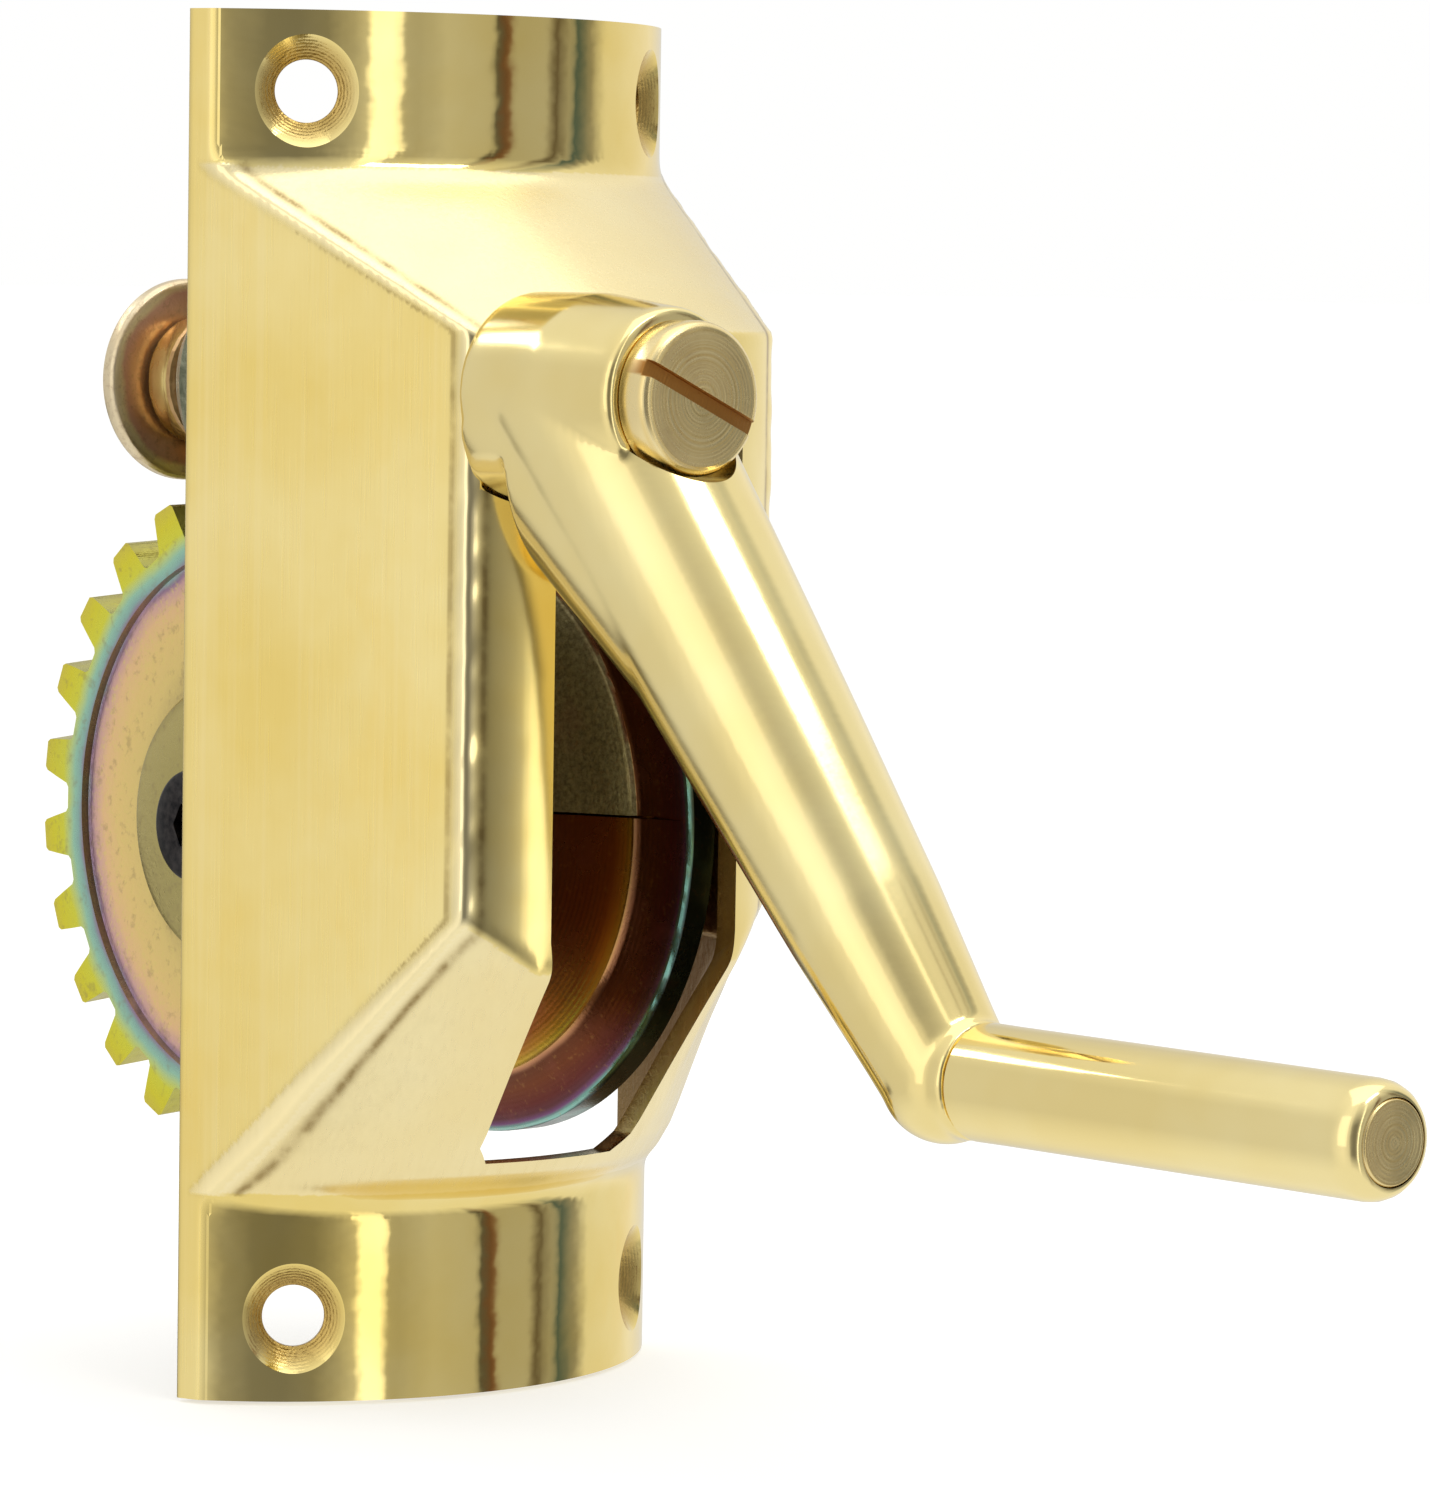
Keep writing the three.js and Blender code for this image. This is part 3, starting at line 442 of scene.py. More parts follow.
def housing_material():
    m = Mat("brass_housing")
    plate = m.remap(m.facing_x(), span=(0.80, 0.90))
    inside, edge, flange = m.attr("inside"), m.attr("edge"), m.attr("flange")
    roof, sink = m.attr("roof"), m.attr("csk")

    # hand finish: vertical strokes on the plates, diagonal ones on the roofs
    upright = m.noise(1500, rough=0.6, vector=m.mapping(scale=(1, 1, 0.035)))
    broad = m.noise(420, rough=0.6, vector=m.mapping(scale=(1, 1, 0.012)))
    turned = m.mapping(rotation=(0.75, 0.0, 0.25))
    diagonal = m.noise(1300, rough=0.62, vector=m.mapping(scale=(1.0, 0.05, 1.0), vector=turned))
    strokes = m.mix_value(plate, m.mix_value(roof, 0.5, diagonal), upright)
    cloud = m.noise(26, detail=4)
    patches = m.noise(60, detail=4, rough=0.6, vector=m.mapping(scale=(1, 1, 0.45)))

    colour = m.mix(m.remap(cloud, span=(0.35, 0.68)), BRASS, BRASS_PALE)
    colour = m.tint(colour, (0.86, 0.62, 0.16), m.remap(patches, span=(0.56, 0.74)), amount=0.4)
    colour = m.tint(colour, (0.93, 0.80, 0.46), m.remap(broad, span=(0.5, 0.72)),
                    amount=m.times(plate, 0.22))
    # painted highlight: the upward-facing roofs are tinted paler, where they catch the light
    colour = m.tint(colour, (0.99, 0.90, 0.66), roof, amount=0.38)
    # painted shade: the inside is tinted dark brown where little light reaches, on top of the
    # darker cast brass there
    colour = m.tint(colour, BRASS_SHADED_INSIDE, inside, amount=0.9)
    colour = m.tint(colour, (0.99, 0.88, 0.58), edge, amount=0.6)
    # a darker line beside the bead, its strength varying along the bead
    groove_strength = m.remap(m.noise(170, rough=0.6), span=(0.34, 0.6), out=(0.25, 0.85))
    colour = m.tint(colour, (0.24, 0.15, 0.04), m.attr("groove"), amount=groove_strength)
    # painted shade: the countersinks are tinted darker brown
    colour = m.tint(colour, (0.60, 0.42, 0.13), sink, amount=0.8)

    roof_rough = m.mix_value(roof, 0.13, m.remap(diagonal, span=(0.3, 0.7), out=(0.17, 0.30)))
    rough = m.mix_value(plate, roof_rough, m.remap(upright, span=(0.3, 0.7), out=(0.25, 0.36)))
    rough = m.mix_value(flange, rough, m.remap(patches, span=(0.3, 0.7), out=(0.035, 0.08)))
    for mask, value in ((inside, 0.42), (edge, 0.12), (sink, 0.2)):
        rough = m.mix_value(mask, rough, value)

    # relief, coarse to fine: waves, flange ripple, strokes, rough inside, rings round the holes
    normal = m.bump(m.noise(55, detail=2, rough=0.4), strength=0.25, distance=0.0006)
    ripple = m.noise(240, detail=2, rough=0.5, vector=m.mapping(scale=(0.5, 0.5, 1.0)))
    normal = m.bump(m.times(ripple, flange), strength=0.22, distance=0.0003, under=normal)
    normal = m.bump(strokes, strength=0.16, distance=0.00012, under=normal)
    cast = m.math("MULTIPLY", m.noise(900, detail=4, rough=0.65), inside, third=None)
    normal = m.bump(cast, strength=0.5, distance=0.0004, under=normal)
    rings = m.times(m.rings(m.attr("hole_r"), rate=14.0), sink)
    normal = m.bump(rings, strength=0.25, distance=0.00006, under=normal)
    return m.finish(colour, metallic=1.0, rough=rough, normal=normal)


def crank_material(name, satin):
    m = Mat(name)
    cloud = m.noise(40, rough=0.5)
    fine = m.noise(900, rough=0.6, vector=m.mapping(scale=(1, 0.08, 1)))
    brass = m.mix(m.remap(cloud, span=(0.35, 0.7)), BRASS, BRASS_PALE)
    colour = m.mix(0.3, brass, (1.0, 0.90, 0.58))
    rough = m.remap(cloud, span=(0.35, 0.7), out=(satin - 0.04, satin + 0.06))
    waves = m.bump(m.noise(45, detail=2, rough=0.4), strength=0.12, distance=0.0005)
    normal = m.bump(fine, strength=0.10, distance=0.00008, under=waves)
    return m.finish(colour, metallic=1.0, rough=rough, normal=normal)


def turned_material(name, axis):
    """Lathe-turned face with concentric tool marks round the axis."""
    m = Mat(name)
    radius = m.radius(axis)
    grain = m.noise(700, rough=0.6, vector=m.mapping())
    marks = m.node("ShaderNodeTexNoise", noise_dimensions="1D")
    m.link(m.times(radius, 2.4), marks.inputs["W"])
    marks.inputs["Scale"].default_value = 1.0
    marks.inputs["Detail"].default_value = 5
    marks = marks.outputs["Fac"]
    height = m.add(m.times(m.rings(radius, rate=11.0), 0.25), marks)
    colour = m.mix(m.remap(marks, span=(0.35, 0.65)), (0.80, 0.62, 0.27), (0.90, 0.75, 0.40))
    slot = m.attr("slot")
    # painted shade: the slot across the head is tinted dark brown
    colour = m.mix(slot, colour, (0.42, 0.20, 0.05))
    rough = m.mix_value(slot, m.remap(grain, span=(0.3, 0.7), out=(0.20, 0.30)), 0.5)
    return m.finish(colour, metallic=1.0, rough=rough,
                    normal=m.bump(height, strength=0.3, distance=0.00012))


# Zinc films, and on the drum's rim a painted dark reflection: (radius in mm, colour)
WHEEL_FILM = [
    (9, (0.42, 0.36, 0.13)), (18, (0.50, 0.42, 0.16)), (20.6, (0.34, 0.27, 0.09)),
    (22, (0.52, 0.42, 0.18)), (28, (0.80, 0.62, 0.24)), (33, (0.84, 0.62, 0.25)),
    (36.5, (0.84, 0.56, 0.30)), (38.8, (0.68, 0.42, 0.40)), (39.8, (0.34, 0.22, 0.34)),
    (40.8, (0.30, 0.50, 0.46)), (42.0, (0.36, 0.64, 0.48)), (43.2, (0.58, 0.72, 0.28)),
    (44.6, (0.76, 0.75, 0.07)), (47.5, (0.78, 0.71, 0.05)), (49.5, (0.74, 0.64, 0.08))]
# the last two stops paint the rim's outer face near black: a painted dark reflection
DRUM_FILM_AND_RIM_REFLECTION = [
    (10, (0.18, 0.11, 0.05)), (22, (0.17, 0.085, 0.035)), (28, (0.21, 0.075, 0.03)),
    (34, (0.25, 0.075, 0.02)), (37, (0.34, 0.11, 0.02)), (38.6, (0.58, 0.27, 0.04)),
    (39.6, (0.70, 0.46, 0.07)), (40.3, (0.56, 0.26, 0.13)), (40.9, (0.14, 0.045, 0.02)),
    (43, (0.18, 0.05, 0.02)), (45.6, (0.15, 0.035, 0.03)), (47.0, (0.14, 0.05, 0.06)),
    (47.7, (0.22, 0.10, 0.22)), (48.2, (0.20, 0.46, 0.38)), (48.5, (0.30, 0.58, 0.52)),
    (48.65, (0.05, 0.06, 0.06)), (49.4, (0.03, 0.035, 0.04))]
DISC_FILM = [
    (3, (0.84, 0.66, 0.38)), (8, (0.88, 0.62, 0.36)), (11, (0.86, 0.50, 0.30)),
    (12.8, (0.74, 0.42, 0.30)), (13.6, (0.88, 0.72, 0.42)), (14.4, (0.76, 0.62, 0.40)),
    (15, (0.80, 0.68, 0.46))]


def wheel_material():
    m = Mat("zinc_wheel")
    radius = m.radius(GEAR_AXIS)
    film = m.film(radius, reach=50.0, scale=70, wander=0.7, stops=WHEEL_FILM)
    fine = m.noise(1500, detail=2, rough=0.7)
    coarse = m.noise(520, rough=0.7)
    web = m.times(m.remap(radius, span=(21.0, 22.0)), m.remap(radius, span=(40.0, 38.5)))
    colour = m.tint(film, (0.80, 0.66, 0.25), m.remap(fine, span=(0.5, 0.68)),
                    amount=m.times(web, 0.55))
    colour = m.tint(colour, (0.30, 0.22, 0.12), m.remap(coarse, span=(0.56, 0.70)), amount=0.35)
    # painted shade: the tooth gaps and the sides of the teeth are tinted a darker olive
    side = m.remap(m.facing_x(), span=(0.75, 0.35))
    colour = m.tint(colour, (0.36, 0.33, 0.13), side, amount=0.6)
    rough = m.mix_value(web, m.remap(coarse, span=(0.3, 0.7), out=(0.24, 0.36)),
                        m.remap(fine, span=(0.3, 0.7), out=(0.38, 0.55)))
    lines = m.bump(m.times(m.rings(radius, rate=16.0), 0.15), strength=0.2, distance=0.0001)
    height = m.add(m.times(fine, 0.6), coarse)
    normal = m.bump(height, strength=0.35, distance=0.00022, under=lines)
    return m.finish(colour, metallic=0.92, rough=rough, normal=normal)


def drum_material():
    m = Mat("zinc_drum")
    radius = m.radius(GEAR_AXIS)
    film = m.film(radius, reach=50.0, scale=60, wander=0.15, stops=DRUM_FILM_AND_RIM_REFLECTION)
    pad = m.attr("pad")
    sand = m.noise(1300, rough=0.75)
    olive = m.mix(m.remap(sand, span=(0.35, 0.65)), (0.22, 0.18, 0.08), (0.42, 0.36, 0.18))
    colour = m.mix(pad, film, olive)
    cloud = m.noise(130, detail=4, rough=0.6)
    specks = m.remap(m.noise(900, detail=2, rough=0.7), span=(0.60, 0.70))
    colour = m.tint(colour, (0.46, 0.24, 0.08), specks, amount=0.22)
    colour = m.tint(colour, (0.42, 0.13, 0.10), m.remap(cloud, span=(0.58, 0.78)), amount=0.20)
    rough = m.mix_value(pad, m.remap(cloud, span=(0.3, 0.7), out=(0.18, 0.32)), 0.52)
    height = m.add(m.times(sand, m.mix_value(pad, 0.35, 1.0)),
                   m.times(m.rings(radius, rate=9.0), 0.05))
    return m.finish(colour, metallic=0.9, rough=rough,
                    normal=m.bump(height, strength=0.45, distance=0.00025))


def disc_material():
    m = Mat("zinc_disc")
    film = m.film(m.radius(WORM_AXIS), reach=16.0, scale=110, wander=0.6, stops=DISC_FILM)
    specks = m.noise(900, rough=0.7)
    colour = m.tint(film, (0.28, 0.16, 0.08), m.remap(specks, span=(0.52, 0.7)), amount=0.3)
    rough = m.remap(specks, span=(0.3, 0.7), out=(0.28, 0.42))
    return m.finish(colour, metallic=0.9, rough=rough,
                    normal=m.bump(specks, strength=0.3, distance=0.0002))


def worm_material():
    """Bare steel on the shaft, grease further out on the worm."""
    m = Mat("steel_grease")
    radius = m.radius(WORM_AXIS)
    grease = m.noise(240, detail=4, rough=0.6, distortion=0.8)
    greasy = m.remap(radius, span=(10.0, 12.0))
    colour = m.mix(m.remap(grease, span=(0.4, 0.62)), (0.34, 0.36, 0.29), (0.58, 0.60, 0.48))
    colour = m.mix(greasy, (0.55, 0.54, 0.50), colour)
    rough = m.mix_value(greasy, 0.25, m.remap(grease, span=(0.4, 0.6), out=(0.35, 0.22)))
    metallic = m.mix_value(greasy, 1.0, m.remap(grease, span=(0.42, 0.6), out=(0.75, 0.1)))
    return m.finish(colour, metallic, rough, coat=0.3,
                    normal=m.bump(grease, strength=0.6, distance=0.0008))


def metal_material(name, dark, light, rough, scale):
    m = Mat(name)
    cloud = m.noise(scale, detail=4, rough=0.6)
    colour = m.mix(m.remap(cloud, span=(0.35, 0.65)), dark, light)
    normal = m.bump(m.noise(scale * 2, rough=0.6), strength=0.2, distance=0.0001)
    return m.finish(colour, metallic=1.0, normal=normal,
                    rough=m.remap(cloud, span=(0.3, 0.7), out=rough))


HOUSING_BRASS = housing_material()
CRANK_BRASS = crank_material("brass_crank", satin=0.15)
GRIP_BRASS = crank_material("brass_grip", satin=0.11)
SCREW_BRASS = turned_material("brass_turned_screw", WORM_AXIS)
SPINDLE_BRASS = turned_material("brass_turned_end", GRIP_AXIS)
WHEEL_ZINC = wheel_material()
DRUM_ZINC = drum_material()
DISC_ZINC = disc_material()
WORM_STEEL = worm_material()
BLACK = metal_material("black_oxide", dark=(0.012, 0.012, 0.014), light=(0.05, 0.045, 0.045),
                       rough=(0.28, 0.42), scale=700)
BRONZE = metal_material("bearing_bronze", dark=(0.52, 0.33, 0.15), light=(0.66, 0.45, 0.22),
                        rough=(0.28, 0.45), scale=450)
STEEL = metal_material("plain_steel", dark=(0.42, 0.42, 0.41), light=(0.60, 0.60, 0.58),
                       rough=(0.22, 0.38), scale=450)


# ------------------------------------------------------------------ housing
def soft_foot(f, k):
    """f, held at 0 below 0, with a round of half width k where it starts to climb."""
    f = np.asarray(f, float)
    return np.where(f < -k, 0, np.where(f > k, f, (f + k) ** 2 / (4 * k)))


def soft_top(f, k=0.02):
    """f, held at 1 above 1, with a round of half width k."""
    return np.where(f > 1 + k, 1.0, np.where(f > 1 - k, 1 - (1 + k - f) ** 2 / (4 * k), f))


def outline_at(z):
    """Raise (0 on the flanges, 1 on the middle), corner y, arc radius and arc centre y."""
    low = soft_foot((z - LOW_FOOT) / (LOW_TOP - LOW_FOOT), 0.03)
    high = soft_foot((HIGH_FOOT - z) / (HIGH_FOOT - HIGH_TOP), 0.12)
    raised = np.minimum(soft_top(low), soft_top(high))
    corner_y = FLANGE_Y + (MIDDLE_Y - FLANGE_Y) * raised
    corner_x = half_width(corner_y)
    rise = FLANGE_RISE + (MIDDLE_RISE - FLANGE_RISE) * raised
    # the middle of the lower roof stands further forward than its sides: (z, front y)
    flange_y, middle_y = FLANGE_Y - FLANGE_RISE, MIDDLE_Y - MIDDLE_RISE
    slope_y = LEDGE_Y + (middle_y - LEDGE_Y) * (52 - LEDGE_Z) / (LOW_TOP - LEDGE_Z)
    stations = [
        (0, flange_y), (LOW_FOOT - 2.2, flange_y), (LOW_FOOT - 0.4, flange_y - 0.7),
        (LOW_FOOT + 1.6, flange_y - 3.2), (LOW_FOOT + 3.6, flange_y - 6.6),
        (LEDGE_Z, LEDGE_Y - 0.2), (LEDGE_Z + 4, LEDGE_Y - 2.9), (52, slope_y - 0.3),
        (LOW_TOP - 1.5, middle_y + 0.75), (LOW_TOP + 1.5, middle_y), (BELLY_TOP, middle_y)]
    heights, fronts = zip(*stations)
    rise = np.where(z < BELLY_TOP, corner_y - np.interp(z, heights, fronts), rise)
    radius = (corner_x * corner_x + rise * rise) / (2 * rise)
    return raised, corner_y, radius, corner_y - rise + radius


def hang_lip(x, z):
    """Height of a section point once the roof's central lip hangs down."""
    climb = np.where(z <= LOW_TOP, (z - LEDGE_Z) / (LOW_TOP - LEDGE_Z),
                     (BELLY_TOP - z) / (BELLY_TOP - LOW_TOP))
    weight = np.where((z <= LEDGE_Z) | (z >= BELLY_TOP), 0, climb)
    return z - LIP_DROP * weight * np.clip((28 - np.abs(x)) / 9, 0, 1)


def unhang_lip(x, z):
    """Inverse of hang_lip, by iteration."""
    level = z.copy()
    for _ in range(12):
        level = z + (level - hang_lip(x, level))
    return level


def section(z, inset, arc_points=90):
    """Open outline (x, y) at height z, from the left back edge round the front to the right."""
    _, _, radius, centre_y = (float(value) for value in outline_at(np.array(z)))
    radius = radius - inset

    def plate_x(y):
        return BACK_HALF_WIDTH + TAPER * y - inset * SLANT

    low, high = centre_y - radius, min(0.0, centre_y)
    for _ in range(60):
        middle = (low + high) / 2
        if plate_x(middle) ** 2 + (middle - centre_y) ** 2 - radius * radius > 0:
            low = middle
        else:
            high = middle
    y = (low + high) / 2
    back_x, front_x = plate_x(0), plate_x(y)
    angle = math.atan2(front_x, centre_y - y)
    steps = (0.25, 0.5, 0.75)
    points = [(-back_x, 0.0)]
    points += [(-back_x + (back_x - front_x) * t, y * t) for t in steps]
    points += [(radius * math.sin(t), centre_y - radius * math.cos(t))
               for t in np.linspace(-angle, angle, arc_points)]
    points += [(front_x + (back_x - front_x) * t, y * (1 - t)) for t in steps]
    points += [(back_x, 0.0)]
    return points


def loft(inset, start, end):
    """Number of levels, points in all, and points per level."""
    levels = np.round(np.concatenate([
        np.linspace(LOW_FOOT - 6, LOW_FOOT + 6, 13), np.linspace(LOW_TOP - 3, LOW_TOP + 3, 7),
        [34.0, 36.5, 38, 40.5, 52, 60], np.linspace(HIGH_TOP - 3, HIGH_TOP + 3, 7),
        np.linspace(HIGH_FOOT - 6, HIGH_FOOT + 6, 13), np.arange(5, 200, 9.0)]), 3)
    levels = [z for z in sorted({start, end, *levels}) if start <= z <= end]
    rows = [section(z, inset) for z in levels]
    verts = [(x, y, float(hang_lip(x, z))) for z, row in zip(levels, rows) for x, y in row]
    return len(levels), verts, len(rows[0])


def outer_solid(inset=0.05):
    """The housing's outside as a solid, to clip parts that meet the skin."""
    n, verts, m = loft(inset, 0.0, HEIGHT)
    faces = [(j * m + i, j * m + i + 1, (j + 1) * m + i + 1, (j + 1) * m + i)
             for j in range(n - 1) for i in range(m - 1)]
    faces += [(j * m + m - 1, j * m, (j + 1) * m, (j + 1) * m + m - 1) for j in range(n - 1)]
    faces += [tuple(range(m)), tuple((n - 1) * m + i for i in range(m - 1, -1, -1))]
    return mesh_from(verts, faces)


def shell():
    """The bent sheet, open at the back and at both ends."""
    n, outer, m = loft(0, -END_STOCK, HEIGHT + END_STOCK)
    _, inner, _ = loft(WALL, -END_STOCK, HEIGHT + END_STOCK)
    inn = len(outer)                # index of the first inner point
    faces = []
    for j in range(n - 1):
        for i in range(m - 1):
            a, b, c, d = j * m + i, j * m + i + 1, (j + 1) * m + i + 1, (j + 1) * m + i
            faces += [(a, b, c, d), (inn + a, inn + d, inn + c, inn + b)]
        a, d = j * m, (j + 1) * m
        faces.append((a, d, inn + d, inn + a))
        a, d = a + m - 1, d + m - 1
        faces.append((a, inn + a, inn + d, d))
    for i in range(m - 1):
        faces.append((i, inn + i, inn + i + 1, i + 1))
    for i in range(m - 1):
        a = (n - 1) * m + i
        faces.append((a, a + 1, inn + a + 1, inn + a))
    return mesh_from(outer + inner, faces)


def add_inner_parts(housing):
    outer = outer_solid()

    def clipped(base, *more, extra=None):
        """The parts as one, kept within the outside (and the extra room)."""
        unite(base, *more)
        clip = bpy.data.objects.new("clip", outer.data.copy())
        collection.objects.link(clip)
        if extra is not None:
            unite(clip, extra)
        boolean(base, clip, "INTERSECT")
        return base

    boss = clipped(cylinder(WORM_AXIS, BOSS_R, span=(-60, -34.2)))
    # lug on the right wall, round the gear axle
    lug_x, lug_r = (26.8, 35.8), 15.5
    lug = clipped(
        cylinder(GEAR_AXIS, lug_r, span=lug_x),
        box(x=lug_x, y=(-46.5, GEAR_Y), z=(GEAR_Z - lug_r, GEAR_Z + lug_r)),
        extra=box(x=(10, 39), y=(-1, 40), z=(50, 120)))
    # arm behind the worm, carried forward along the right side
    arm_y, arm_x, arm_z = (25.9, 30.9), (19.5, 26.0), (133.5, 143.5)
    arm = clipped(
        cylinder(WORM_AXIS, 9.6, span=arm_y),
        box(x=(WORM_X, arm_x[1]), y=arm_y, z=arm_z),
        box(x=arm_x, y=(-49.0, arm_y[1]), z=arm_z),
        extra=box(x=(-40, 39), y=(-1, 60), z=(100, 170)))
    bpy.data.objects.remove(outer)
    unite(housing, boss, lug, arm)


def surface_depths(points):
    """Raise, depth under the plates and under the front arc, corner nearness and edge weight."""
    x, y, z = points.T
    raised, corner_y, radius, centre_y = outline_at(unhang_lip(x, z))
    plate = (half_width(y) - np.abs(x)) / SLANT
    arc = radius - np.hypot(x, y - centre_y)
    by_corner = np.abs(y - corner_y) < 3.0
    edge = np.exp(-((np.maximum(plate, 0) ** 2 + np.maximum(arc, 0) ** 2) / 0.85 ** 2))
    return raised, plate, arc, by_corner, edge * (raised > 0.02) * by_corner


def raise_bead(housing):
    """Hand-filed bead along the plates' front edges."""
    points = get_points(housing)
    edge = surface_depths(points)[-1]
    along = points[:, 2] + 0.6 * points[:, 1] + 7.0 * np.sign(points[:, 0])
    # waves along the bead: (radians per mm, phase, weight)
    waves = ((0.23, 0.0, 0.5), (0.61, 1.3, 0.35), (1.13, 0.4, 0.25))
    uneven = sum(np.sin(along * rate + phase) * weight for rate, phase, weight in waves)
    normals = np.empty(len(points) * 3, np.float32)
    housing.data.vertices.foreach_get("normal", normals)
    points += normals.reshape(-1, 3) * (edge * (0.26 + 0.16 * uneven))[:, None]
    set_points(housing, points)


def cut_openings(housing):
    """Ends and openings with crisp edges."""
    for z in ((-6, 0), (HEIGHT, HEIGHT + 6)):
        cut(housing, box(x=(-60, 60), y=(-80, 40), z=z))
    # front window, outline (x, z); it leaves the boss standing
    outline = [(-11.8, 35), (11.8, 35), (14.3, 37.6), (17.4, LOW_TOP - 3), (17.4, 151),
               (-1.0, 151), (-1.0, 126), (-17.4, 126), (-17.4, LOW_TOP - 3), (-14.3, 37.6)]
    window = ring_solid([[(x, y, z) for x, z in outline] for y in (-76, -16)])
    cut(window, cylinder(WORM_AXIS, BOSS_R + 0.05, span=(-60, -34)))
    cut(housing, window)
    cut(housing, cylinder(WORM_AXIS, 16.2, span=(-80, -46.5), seg=128))
    cut(housing, cylinder(WORM_AXIS, 8.5, span=(-60, -30), seg=64))
    for side, z in HOLES:
        def on_axis(r):
            return (side * math.sin(HOLE_ANGLE) * r,
                    FLANGE_ARC_Y - math.cos(HOLE_ANGLE) * r, z)
        cut(housing, tube([on_axis(FLANGE_R - 12), on_axis(FLANGE_R + 8)], [HOLE_R, HOLE_R]))
        cut(housing, tube([on_axis(FLANGE_R - SINK_DEPTH), on_axis(FLANGE_R + SINK_PROUD)],
                          [SINK_R, SINK_MOUTH_R], seg=128))


def hole_places(points):
    """Distance from the nearest hole's axis and place along it, measured from the arc centre."""
    nearest, place = np.full(len(points), 99.0), np.zeros(len(points))
    for side, hole_z in HOLES:
        dx, dy = side * math.sin(HOLE_ANGLE), -math.cos(HOLE_ANGLE)
        x, y, z = points[:, 0], points[:, 1] - FLANGE_ARC_Y, points[:, 2] - hole_z
        along = x * dx + y * dy
        away = np.sqrt((x - along * dx) ** 2 + (y - along * dy) ** 2 + z ** 2)
        near = (along > 40) & (away < nearest)
        nearest = np.where(near, away, nearest)
        place = np.where(near, along, place)
    return nearest, place


def smoothstep(value, low, high):
    t = np.clip((value - low) / (high - low), 0, 1)
    return t * t * (3 - 2 * t)


def sharpen(obj, on_rim):
    """Marks every edge sharp whose two ends lie on a rim."""
    ends = np.empty(len(obj.data.edges) * 2, np.int32)
    obj.data.edges.foreach_get("vertices", ends)
    ends = ends.reshape(-1, 2)
    sharp = np.zeros(len(ends), bool)
    attributes = obj.data.attributes
    marks = attributes.get("sharp_edge") or attributes.new("sharp_edge", "BOOLEAN", "EDGE")
    marks.data.foreach_get("value", sharp)
    marks.data.foreach_set("value", sharp | (on_rim[ends[:, 0]] & on_rim[ends[:, 1]]))


def paint_housing(housing):
    """Masks for the brass, and sharp rims round the holes."""
    points = get_points(housing)
    raised, plate, arc, by_corner, edge = surface_depths(points)
    # a dark line beside the bead, on the roof side and on the plate side
    groove = (np.exp(-((plate - 1.5) / 0.38) ** 2) * (raised > 0.02) * (arc < 0.5)
              + 0.7 * np.exp(-((arc - 1.35) / 0.34) ** 2) * (raised > 0.4) * (plate < 0.4)
              * by_corner)
    hole_r, place = hole_places(points)
    depth = FLANGE_R - np.hypot(points[:, 0], points[:, 1] - FLANGE_ARC_Y)
    float_attr(housing, "hole_r", hole_r)
    float_attr(housing, "csk", (hole_r < 9.0) & (depth > 0.12) & (depth < 3.3))
    float_attr(housing, "groove", groove)
    float_attr(housing, "inside", smoothstep(np.minimum(plate, arc), 0.7, 1.6))
    float_attr(housing, "edge", edge)
    float_attr(housing, "roof", (raised > 0.03) & (raised < 0.985) & (plate > 0.3))
    float_attr(housing, "flange", smoothstep(1 - raised, 0.93, 0.99) * (plate > 0.5))
    smooth_by_angle(housing, 52)
    flare = (SINK_MOUTH_R - SINK_R) / (SINK_DEPTH + SINK_PROUD)
    sink_r = SINK_R + (place - (FLANGE_R - SINK_DEPTH)) * flare
    mouth = (np.abs(hole_r - sink_r) < 0.02) & (np.abs(depth) < 0.08)
    sharpen(housing, (np.abs(hole_r - HOLE_R) < 0.02) | mouth)


def build_housing():
    housing = shell()
    add_inner_parts(housing)
    cut(housing,
        cylinder(WORM_AXIS, 21.0, span=(-9.6, 25.4)),
        cylinder(GEAR_AXIS, 50.6, span=(-26.6, 24.7), seg=128),
        cylinder(WORM_AXIS, 8.0, span=(20, 40)),
        cylinder(GEAR_AXIS, 7.06, span=(20, 40)),
        cylinder(("y", (31.3, 0, GEAR_Z)), 2.05, span=(GEAR_Y, 60), seg=32))
    voxel(housing, 0.5, smooth=5)
    raise_bead(housing)
    cut_openings(housing)
    paint_housing(housing)
    piece(housing, "body", "housing", HOUSING_BRASS)


